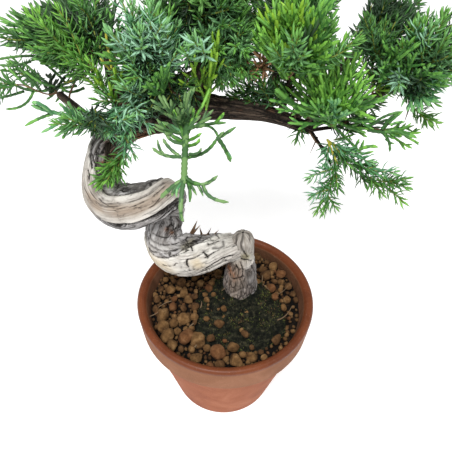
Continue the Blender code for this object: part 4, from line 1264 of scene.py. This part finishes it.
def join_limbs(name, limbs, stands_for):
    """One piece from several limbs, with a map that flows along each."""
    faces, maps, count = [], [], 0
    for surface, along, turn, _ in limbs:
        grid = grid_faces(len(along), len(turn))
        maps.append(flow_map(grid, along, turn) * MM + len(maps) * 0.37)
        faces.append(grid + count)
        count += len(surface)
    points = np.concatenate([limb[0] for limb in limbs])
    piece = make_piece(name, points, faces, [wood_look()], stands_for)
    flow = piece.data.uv_layers.new(name="Flow")
    flow.data.foreach_set("uv", np.concatenate(maps).astype(np.float32).ravel())
    for key in limbs[0][-1]:
        point_values(piece, key, np.concatenate([limb[-1][key] for limb in limbs]))


def trunk_brown(where):
    return smoothstep(BROWN_FROM, BROWN_TO, where)


def stump_brown(where):
    return np.full_like(where, STUMP_BROWN)


def bough_course(bough):
    """Stations along a bough."""
    made = []
    for share in (0.0, 0.5, 1.0):
        x, y, z = bough.root + (bough.tip - bough.root) * share
        z += bough.bow * 4 * share * (1 - share)
        radius = bough.thick + (bough.thin - bough.thick) * share
        made.append(Station(x, y, z, radius, (0.2, -0.5, 0.8), -60, -60))
    return made


def make_wood():
    trunk = limb_surface(TRUNK, 660, 132, 1.0, trunk_brown, TRUNK_STROKES)
    stump = limb_surface(STUMP, 130, 110, 1.0, stump_brown, STUMP_STROKES, STUMP_PLATES, (False, True))
    boughs = [limb_surface(bough_course(bough), 50, 22, 0.9, np.ones_like, {}) for bough in BOUGHS.values()]
    limbs = sorted(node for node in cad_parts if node.startswith(("trunk_", "bough_")))
    upper = [node for node in limbs if node.startswith("trunk_") and node != "trunk_foot"] + ["bough_right"]
    join_limbs("trunk_relief", [trunk], upper)
    join_limbs("stump_relief", [stump], ["trunk_foot"])
    join_limbs("bough_relief", boughs, [node for node in limbs if node not in upper and node != "trunk_foot"])


def make_snags():
    """Broken twigs and a bark spur, each a ragged spike."""
    t = np.linspace(0, 1, 6)[:, None]
    lines, radii = [], []
    for k, row in enumerate(SNAGS):
        foot, tip, radius = np.array(row[:3]), np.array(row[3:6]), row[6]
        ragged = 0.12 * radius * layered(np.hstack([t * 4, t * 0 + k, t * 0]), 27)[:, None]
        lines.append(foot + (tip - foot) * t + ragged)
        radii.append(radius * (1 - 0.92 * t[:, 0]))
    make_strands("snags", lines, radii, 6, twig_look())


# Foliage

Shoot = namedtuple("Shoot", "start way curve length size tint node")


def along(start, way, curve, length, t):
    """Place and direction on a shoot, t from 0 at its foot to 1 at its tip."""
    return start + (way * t + curve * t * t / 2) * length, unit(way + curve * t)


def square_to(ways, rolls=None):
    """Two directions square to each way and to each other."""
    least = np.eye(3)[np.argmin(np.abs(ways), axis=-1)]
    side = unit(np.cross(ways, least))
    over = np.cross(ways, side)
    if rolls is None:
        return side, over
    cos, sin = np.cos(rolls)[..., None], np.sin(rolls)[..., None]
    return side * cos + over * sin, over * cos - side * sin


def grow_spray(rng, style, places, tint, node):
    """The shoots of one spray: a main shoot along its places, and side shoots that turn to run with it."""
    rule = STYLES[style]
    foot, tip = places[0], places[-1]
    length = np.linalg.norm(tip - foot)
    curve = rng.normal(size=3) * 0.12 + UP * 0.14
    way = (tip - foot) / length - curve / 2
    if len(places) == 3:
        way = (4 * (places[1] - foot) - (tip - foot)) / length
        curve = 2 * ((tip - foot) / length - way)
    made = [Shoot(foot, way, curve, length, rule.size, tint, node)]
    side, over = square_to(unit(way), rng.uniform(0, 2 * math.pi))
    if rule.scaly and abs(side[2]) > abs(over[2]):
        side, over = over, side
    cos, sin = math.cos(math.radians(rule.angle)), math.sin(math.radians(rule.angle))
    roll = rng.uniform(0, 2 * math.pi)
    for k in range(int(length * 0.86 / rule.gap) if rule.gap else 0):
        t = (0.10 * length + rule.gap * (k + rng.uniform(-0.25, 0.25))) / length
        t = min(max(t, 0.03), 0.94)
        place, ahead = along(foot, way, curve, length, t)
        if rule.scaly:
            out = unit(side * (1 if k % 2 else -1) + over * rng.normal() * 0.35)
        else:
            turn = roll + k * SPIRAL + rng.uniform(-0.4, 0.4)
            out = side * math.cos(turn) + over * math.sin(turn)
        reach = max(length * rule.share * (1 - 0.68 * t) * rng.uniform(0.7, 1.2), 3.5)
        branch = unit(ahead * cos + out * sin)
        bend = ahead * 0.5 - out * 0.15 + UP * 0.08
        made.append(Shoot(place, branch, bend, reach, rule.size * 0.92, tint, node))
        if rule.again:
            made += grow_forks(rng, made[-1], side, over)
    return made


def grow_forks(rng, shoot, side, over):
    """Short forks left and right along a side shoot."""
    made = []
    for k in range(int(shoot.length / 4.2)):
        t = min((2.6 + 3.8 * k + rng.uniform(-0.5, 0.5)) / shoot.length, 0.92)
        place, ahead = along(shoot.start, shoot.way, shoot.curve, shoot.length, t)
        out = unit(side * (1 if k % 2 else -1) + over * rng.normal() * 0.4)
        reach = max(shoot.length * (0.50 - 0.3 * t), 2.4) * rng.uniform(0.8, 1.2)
        branch = unit(ahead * 0.74 + out * 0.66)
        made.append(Shoot(place, branch, ahead * 0.5, reach, shoot.size * 0.94, shoot.tint, shoot.node))
    return made


def mass_points(node, count, rng):
    """Points spread evenly inside a CAD mass, and its middle, in MM from the pot's axis."""
    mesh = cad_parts[node].data
    corners = (np.array([corner.co for corner in mesh.vertices]) - POT_AXIS) / MM
    mesh.calc_loop_triangles()
    faces = np.array([face.vertices for face in mesh.loop_triangles])
    middle = (corners.min(0) + corners.max(0)) / 2
    a, b, c = (corners[faces[:, k]] - middle for k in range(3))
    volume = np.abs(np.sum(a * np.cross(b, c), axis=1))
    many = count * 12
    pick = rng.choice(len(faces), many, p=volume / volume.sum())
    share = rng.dirichlet((1, 1, 1), many)
    skin = a[pick] * share[:, :1] + b[pick] * share[:, 1:2] + c[pick] * share[:, 2:]
    tried = middle + skin * rng.uniform(0.22, 1, many)[:, None] ** (1 / 3)
    chosen = [0]
    gap = np.linalg.norm(tried - tried[0], axis=1)
    while len(chosen) < count:
        best = int(np.argmax(gap * rng.uniform(0.85, 1.0, many)))
        chosen.append(best)
        gap = np.minimum(gap, np.linalg.norm(tried - tried[best], axis=1))
    return tried[chosen], middle


def in_sky_gap(foot, tip):
    """Whether the camera sees a spray across a gap in the crown."""
    spots = foot + (tip - foot) * np.linspace(0.2, 1.0, 5)[:, None] - CAMERA_PLACE
    x, y, back = (spots @ np.array(CAMERA_TURN)).T
    zoom = CAMERA_LENS / SENSOR * PICTURE / -back
    x, y = PICTURE / 2 + x * zoom, PICTURE / 2 - y * zoom
    return any(np.min(np.hypot(x - gap_x, y - gap_y)) < radius for gap_x, gap_y, radius in SKY_GAPS)


class Twigs:
    """Twig paths that grow out from one bough."""

    def __init__(self, places, ways):
        self.places = list(places)
        self.ways = list(ways)
        self.started = len(self.places)
        self.parents = [-1] * self.started
        self.far = [0.0] * self.started
        self.loads = [0] * self.started
        self.paths = []

    def reach(self, base, way):
        """Grows a twig to a spray's foot from the handiest place on the paths so far."""
        places = np.array(self.places)
        gap = base - places
        away = np.linalg.norm(gap, axis=1)
        ahead = np.sum(unit(gap) * np.array(self.ways), axis=1)
        cost = away * (1.35 - 0.45 * ahead) + 0.22 * np.array(self.far)
        root = int(np.argmin(cost))
        span = max(away[root], 0.5)
        steps = max(2, int(span / 3.0))
        leave = unit(self.ways[root] * 0.5 + unit(gap[root]) * 0.6) * span
        arrive = way * span * 0.9
        path = [root]
        for t in np.arange(1, steps + 1) / steps:
            start = places[root] * (2 * t**3 - 3 * t**2 + 1) + leave * (t**3 - 2 * t**2 + t)
            place = start + base * (3 * t**2 - 2 * t**3) + arrive * (t**3 - t**2)
            step = place - self.places[path[-1]]
            self.parents.append(path[-1])
            self.far.append(self.far[path[-1]] + float(np.linalg.norm(step)))
            self.places.append(place)
            self.ways.append(unit(step))
            self.loads.append(0)
            path.append(len(self.places) - 1)
        self.loads[path[-1]] += 1
        self.paths.append(path)

    def radii(self, widest):
        """Radius in MM at each place, by how many sprays it carries."""
        loads = list(self.loads)
        for k in range(len(loads) - 1, self.started - 1, -1):
            loads[self.parents[k]] += loads[k]
        return np.minimum(0.40 * np.maximum(loads, 1) ** 0.42, widest)


def hash_of(name):
    """A number from a name, the same on every run."""
    return sum(ord(letter) * (k + 3) for k, letter in enumerate(name)) % 97


def placed_sprays(name):
    """Style, places and tint of the sprays of a mass that the picture shows."""
    made = []
    for kind, *rows in PLACED.get(name, ()):
        style, tint = kind.split()
        made += [(style, np.reshape(row, (-1, 3)).astype(float), tint) for row in rows]
    return made


def filling_sprays(name, mass, root, rng):
    """Style, places and tint of the sprays that fill a mass."""
    made = []
    tints = mass.tints.split()
    tips, middle = mass_points("foliage_" + name, mass.sprays, rng)
    outer = np.linalg.norm(tips - middle, axis=1).max()
    for tip in tips:
        outward = unit(tip - root) * 0.8 + unit(tip - middle) * 0.4
        way = unit(outward + np.array(mass.lean) * 0.55 + rng.normal(size=3) * 0.2)
        length = min(rng.uniform(22, 36), 0.75 * np.linalg.norm(tip - root) + 6)
        foot = tip - way * length
        tint = tints[int(rng.random() ** 1.5 * len(tints))]
        # Painted shade: a spray deep in the mass takes the near-black deep tint.
        if np.linalg.norm(tip - middle) < SHADE_DEPTH_SHARE * outer:
            tint = "deep"
        patch = noise(foot[None] * 0.04 + hash_of(name), 31)[0] * 0.35 + rng.uniform(0.1, 0.9)
        style = ("cords", "fan")[int(rng.random() < 0.4)] if patch < mass.cords else "needles"
        if not in_sky_gap(foot, tip):
            made.append((style, np.array([foot, tip]), tint))
    return made


def grow_mass(name, mass):
    """Shoots with needles, shoots with scales and twig paths of one mass."""
    rng = np.random.default_rng(SEED + hash_of(name))
    course = bough_course(BOUGHS[mass.bough])
    places, ways, _ = spline(course, np.linspace(0.9, len(course) - 1.0, 8))
    twigs = Twigs(places, ways)
    root = places[-1]
    sprays = placed_sprays(name)
    if mass.sprays:
        sprays += filling_sprays(name, mass, root, rng)
    shoots = {True: [], False: []}
    for style, spot, tint in sorted(sprays, key=lambda spray: np.linalg.norm(spray[1][0] - root)):
        if STYLES[style].twig:
            twigs.reach(spot[0], unit(spot[-1] - spot[0]))
        shoots[STYLES[style].scaly] += grow_spray(rng, style, spot, tint, "foliage_" + name)
    return shoots[False], shoots[True], twigs


def as_arrays(shoots):
    return Shoot(*map(np.array, zip(*shoots)))


def walk(many, counts, each=1, ends=False):
    """The leaves on every shoot, some at each station.

    Returns the shoot's, the station's and the leaf's number, t from 0 to 1, place and direction.
    """
    shoot = np.repeat(np.arange(len(counts)), counts * each)
    first = np.cumsum(counts * each) - counts * each
    station, leaf = np.divmod(np.arange(len(shoot)) - first[shoot], each)
    t = station / (counts[shoot] - 1) if ends else (station + 0.5) / counts[shoot]
    length = many.length[shoot][:, None]
    place, way = along(many.start[shoot], many.way[shoot], many.curve[shoot], length, t[:, None])
    return shoot, station, leaf, t, place, way


def needle_mesh(shoots, rng):
    """Needles in whorls of three: a flat upper face with bloom, and a keel below.

    Returns points, faces and for each face its shoot and the number of its part's colour.
    """
    many = as_arrays(shoots)
    counts = np.maximum((many.length / WHORL_GAP / many.size).astype(int), 2)
    shoot, whorl, third, t, place, way = walk(many, counts, WHORL)
    side, over = square_to(way)
    count = len(shoot)
    turn = whorl * WHORL_TURN + third * NEEDLE_APART + rng.normal(size=count) * 0.16
    out = side * np.cos(turn)[:, None] + over * np.sin(turn)[:, None]
    open_angle = NEEDLE_OPEN - NEEDLE_CLOSER * smoothstep(0.6, 1.0, t) + rng.normal(size=count) * 7
    open_angle = np.radians(open_angle)
    ahead = unit(way * np.cos(open_angle)[:, None] + out * np.sin(open_angle)[:, None])
    across = unit(np.cross(ahead, way))
    upper = np.cross(across, ahead)
    upper = upper * np.sign(np.sum(upper * way, -1, keepdims=True))
    size = many.size[shoot] * rng.uniform(0.82, 1.12, count) * (1 - 0.42 * smoothstep(0.72, 1.0, t))
    reach = (NEEDLE * size)[:, None]
    half = (NEEDLE_HALF_WIDTH * (0.7 + 0.3 * size))[:, None]
    foot = place + out * 0.25
    middle = foot + ahead * reach * 0.55 - upper * reach * 0.02
    tip = foot + ahead * reach + upper * reach * 0.07
    foot_ring = [foot - across * half * 0.6, foot + across * half * 0.6, foot - upper * half * 0.5]
    middle_ring = [middle - across * half, middle + across * half, middle - upper * half * 0.75]
    points = np.stack([*foot_ring, *middle_ring, tip], 1).reshape(-1, 3)
    base = np.arange(count)[:, None, None] * 7
    quads = base + np.array([[0, 1, 4, 3], [0, 3, 5, 2], [2, 5, 4, 1]])
    tris = base + np.array([[3, 4, 6], [3, 6, 5], [5, 6, 4]])
    young = t > 0.80
    part = np.stack([np.where(young, 1, 2), young * 1, young * 1], -1)
    return points, [quads.reshape(-1, 4), tris.reshape(-1, 3)], np.repeat(shoot, 3), part.ravel()


def cord_mesh(shoots, rng):
    """Cords with a bump for every scale; lighter at the tips and on a scale here and there."""
    many = as_arrays(shoots)
    counts = np.maximum((many.length / SCALE_GAP).astype(int), 2) + 1
    shoot, step, _, t, place, way = walk(many, counts, ends=True)
    bump = np.where(step % 2 == 0, 1.12, 0.88)
    thick = CORD_RADIUS * many.size[shoot] * (1 - 0.14 * t) * np.where(t > 0.999, 0.35, 1.0)
    points, quads, row = tube_mesh(place, way, thick * bump, shoot, 5)
    part = np.where((t[row] > 0.66) | (rng.random(len(row)) < 0.16), 1, 0)
    return points, [quads], shoot[row], part


def make_leaf_pieces(kind, slot, shoots, rng, looks):
    """Pieces of one kind and slot, each under the limit of triangles."""
    names = [name for name, tint in TINTS.items() if tint.slot == slot]
    palette = [looks[name, part] for name in names for part in PARTS]
    each = 9 * WHORL / WHORL_GAP if kind == "needles" else 10 / SCALE_GAP
    total = np.cumsum([s.length * each + 12 for s in shoots])
    groups = np.floor(total / PIECE_LIMIT).astype(int)
    for group in range(groups[-1] + 1):
        mine = [s for s, g in zip(shoots, groups) if g == group]
        points, faces, owner, part = (needle_mesh if kind == "needles" else cord_mesh)(mine, rng)
        shades = np.array([names.index(s.tint) for s in mine])[owner] * len(PARTS) + part
        nodes = sorted({s.node for s in mine})
        tints = [shades] * len(faces)
        make_piece(f"{kind}_{slot}_{group}", points, faces, palette, nodes, tints)


def make_twigs(grown):
    lines, radii = [], []
    for twigs in grown:
        widths = twigs.radii(1.7)
        for path in twigs.paths:
            lines.append(np.array([twigs.places[k] for k in path]))
            radii.append(widths[[path[1], *path[1:]]])
    make_strands("twigs", lines, radii, 5, twig_look())


def make_stems(shoots):
    """The thin green stems that carry the needles."""
    many = as_arrays(shoots)
    counts = np.maximum((many.length / 5).astype(int), 2) + 1
    shoot, _, _, t, place, way = walk(many, counts, ends=True)
    points, faces, _ = tube_mesh(place, way, STEM_RADIUS * (1 - 0.45 * t), shoot, 4)
    make_piece("needle_stems", points, [faces], [Look("green_stem", 0.6, (0.20, 0.24, 0.045))])


def make_foliage():
    rng = np.random.default_rng(SEED + 2)
    needles, cords, grown = [], [], []
    for name, mass in MASSES.items():
        more_needles, more_cords, twigs = grow_mass(name, mass)
        needles += more_needles
        cords += more_cords
        grown.append(twigs)
    looks = leaf_looks()
    make_twigs(grown)
    make_stems(needles)
    for slot in ("green", "blue", "dark"):
        for kind, shoots in (("needles", needles), ("cords", cords)):
            make_leaf_pieces(kind, slot, [s for s in shoots if TINTS[s.tint].slot == slot], rng, looks)


# Stage


def make_camera():
    data = bpy.data.cameras.new("camera")
    data.lens = CAMERA_LENS
    data.sensor_width = SENSOR
    camera = add_object("camera", data)
    camera.matrix_world = Matrix.Translation(Vector(grounded(CAMERA_PLACE))) @ CAMERA_TURN.to_4x4()
    bpy.context.scene.camera = camera


def make_lamp(name, place, aim, size, power):
    data = bpy.data.lights.new(name, "AREA")
    data.shape = "DISK"
    data.size = size
    data.energy = power
    lamp = add_object(name, data)
    lamp.location = place
    lamp.rotation_mode = "QUATERNION"
    lamp.rotation_quaternion = (Vector(aim) - Vector(place)).to_track_quat("-Z", "Y")


def make_stage():
    """A pale floor that keeps nearly white in the shade, a soft sky, a large lamp above and a weak one."""
    reach = 6.0
    mesh = bpy.data.meshes.new("floor")
    corners = [(-reach, -reach, 0), (reach, -reach, 0), (reach, reach, 0), (-reach, reach, 0)]
    mesh.from_pydata(corners, [], [(0, 1, 2, 3)])
    look = Look("pale_floor", 0.9, (0.80, 0.80, 0.80))
    look.feed(look.shader, {"Emission Color": (1.0, 1.0, 1.0, 1.0), "Emission Strength": FLOOR_GLOW})
    mesh.materials.append(look.material)
    add_object("floor", mesh)
    world = bpy.data.worlds.new("studio")
    bpy.context.scene.world = world
    world.use_nodes = True
    sky = world.node_tree.nodes["Background"]
    sky.inputs["Color"].default_value = (1.0, 1.0, 1.0, 1.0)
    sky.inputs["Strength"].default_value = SKY
    make_lamp("key", (-0.15, -0.60, 1.20), (0, 0, 0.15), 0.5, KEY_POWER)
    make_lamp("fill", (0.9, -0.1, 0.9), (0, 0, 0.15), 0.9, FILL_POWER)
    bpy.context.scene.view_settings.view_transform = "Standard"


make_camera()
make_stage()
make_pot()
make_bed()
make_grains()
make_mound()
make_tufts()
make_litter()
make_wood()
make_snags()
make_foliage()
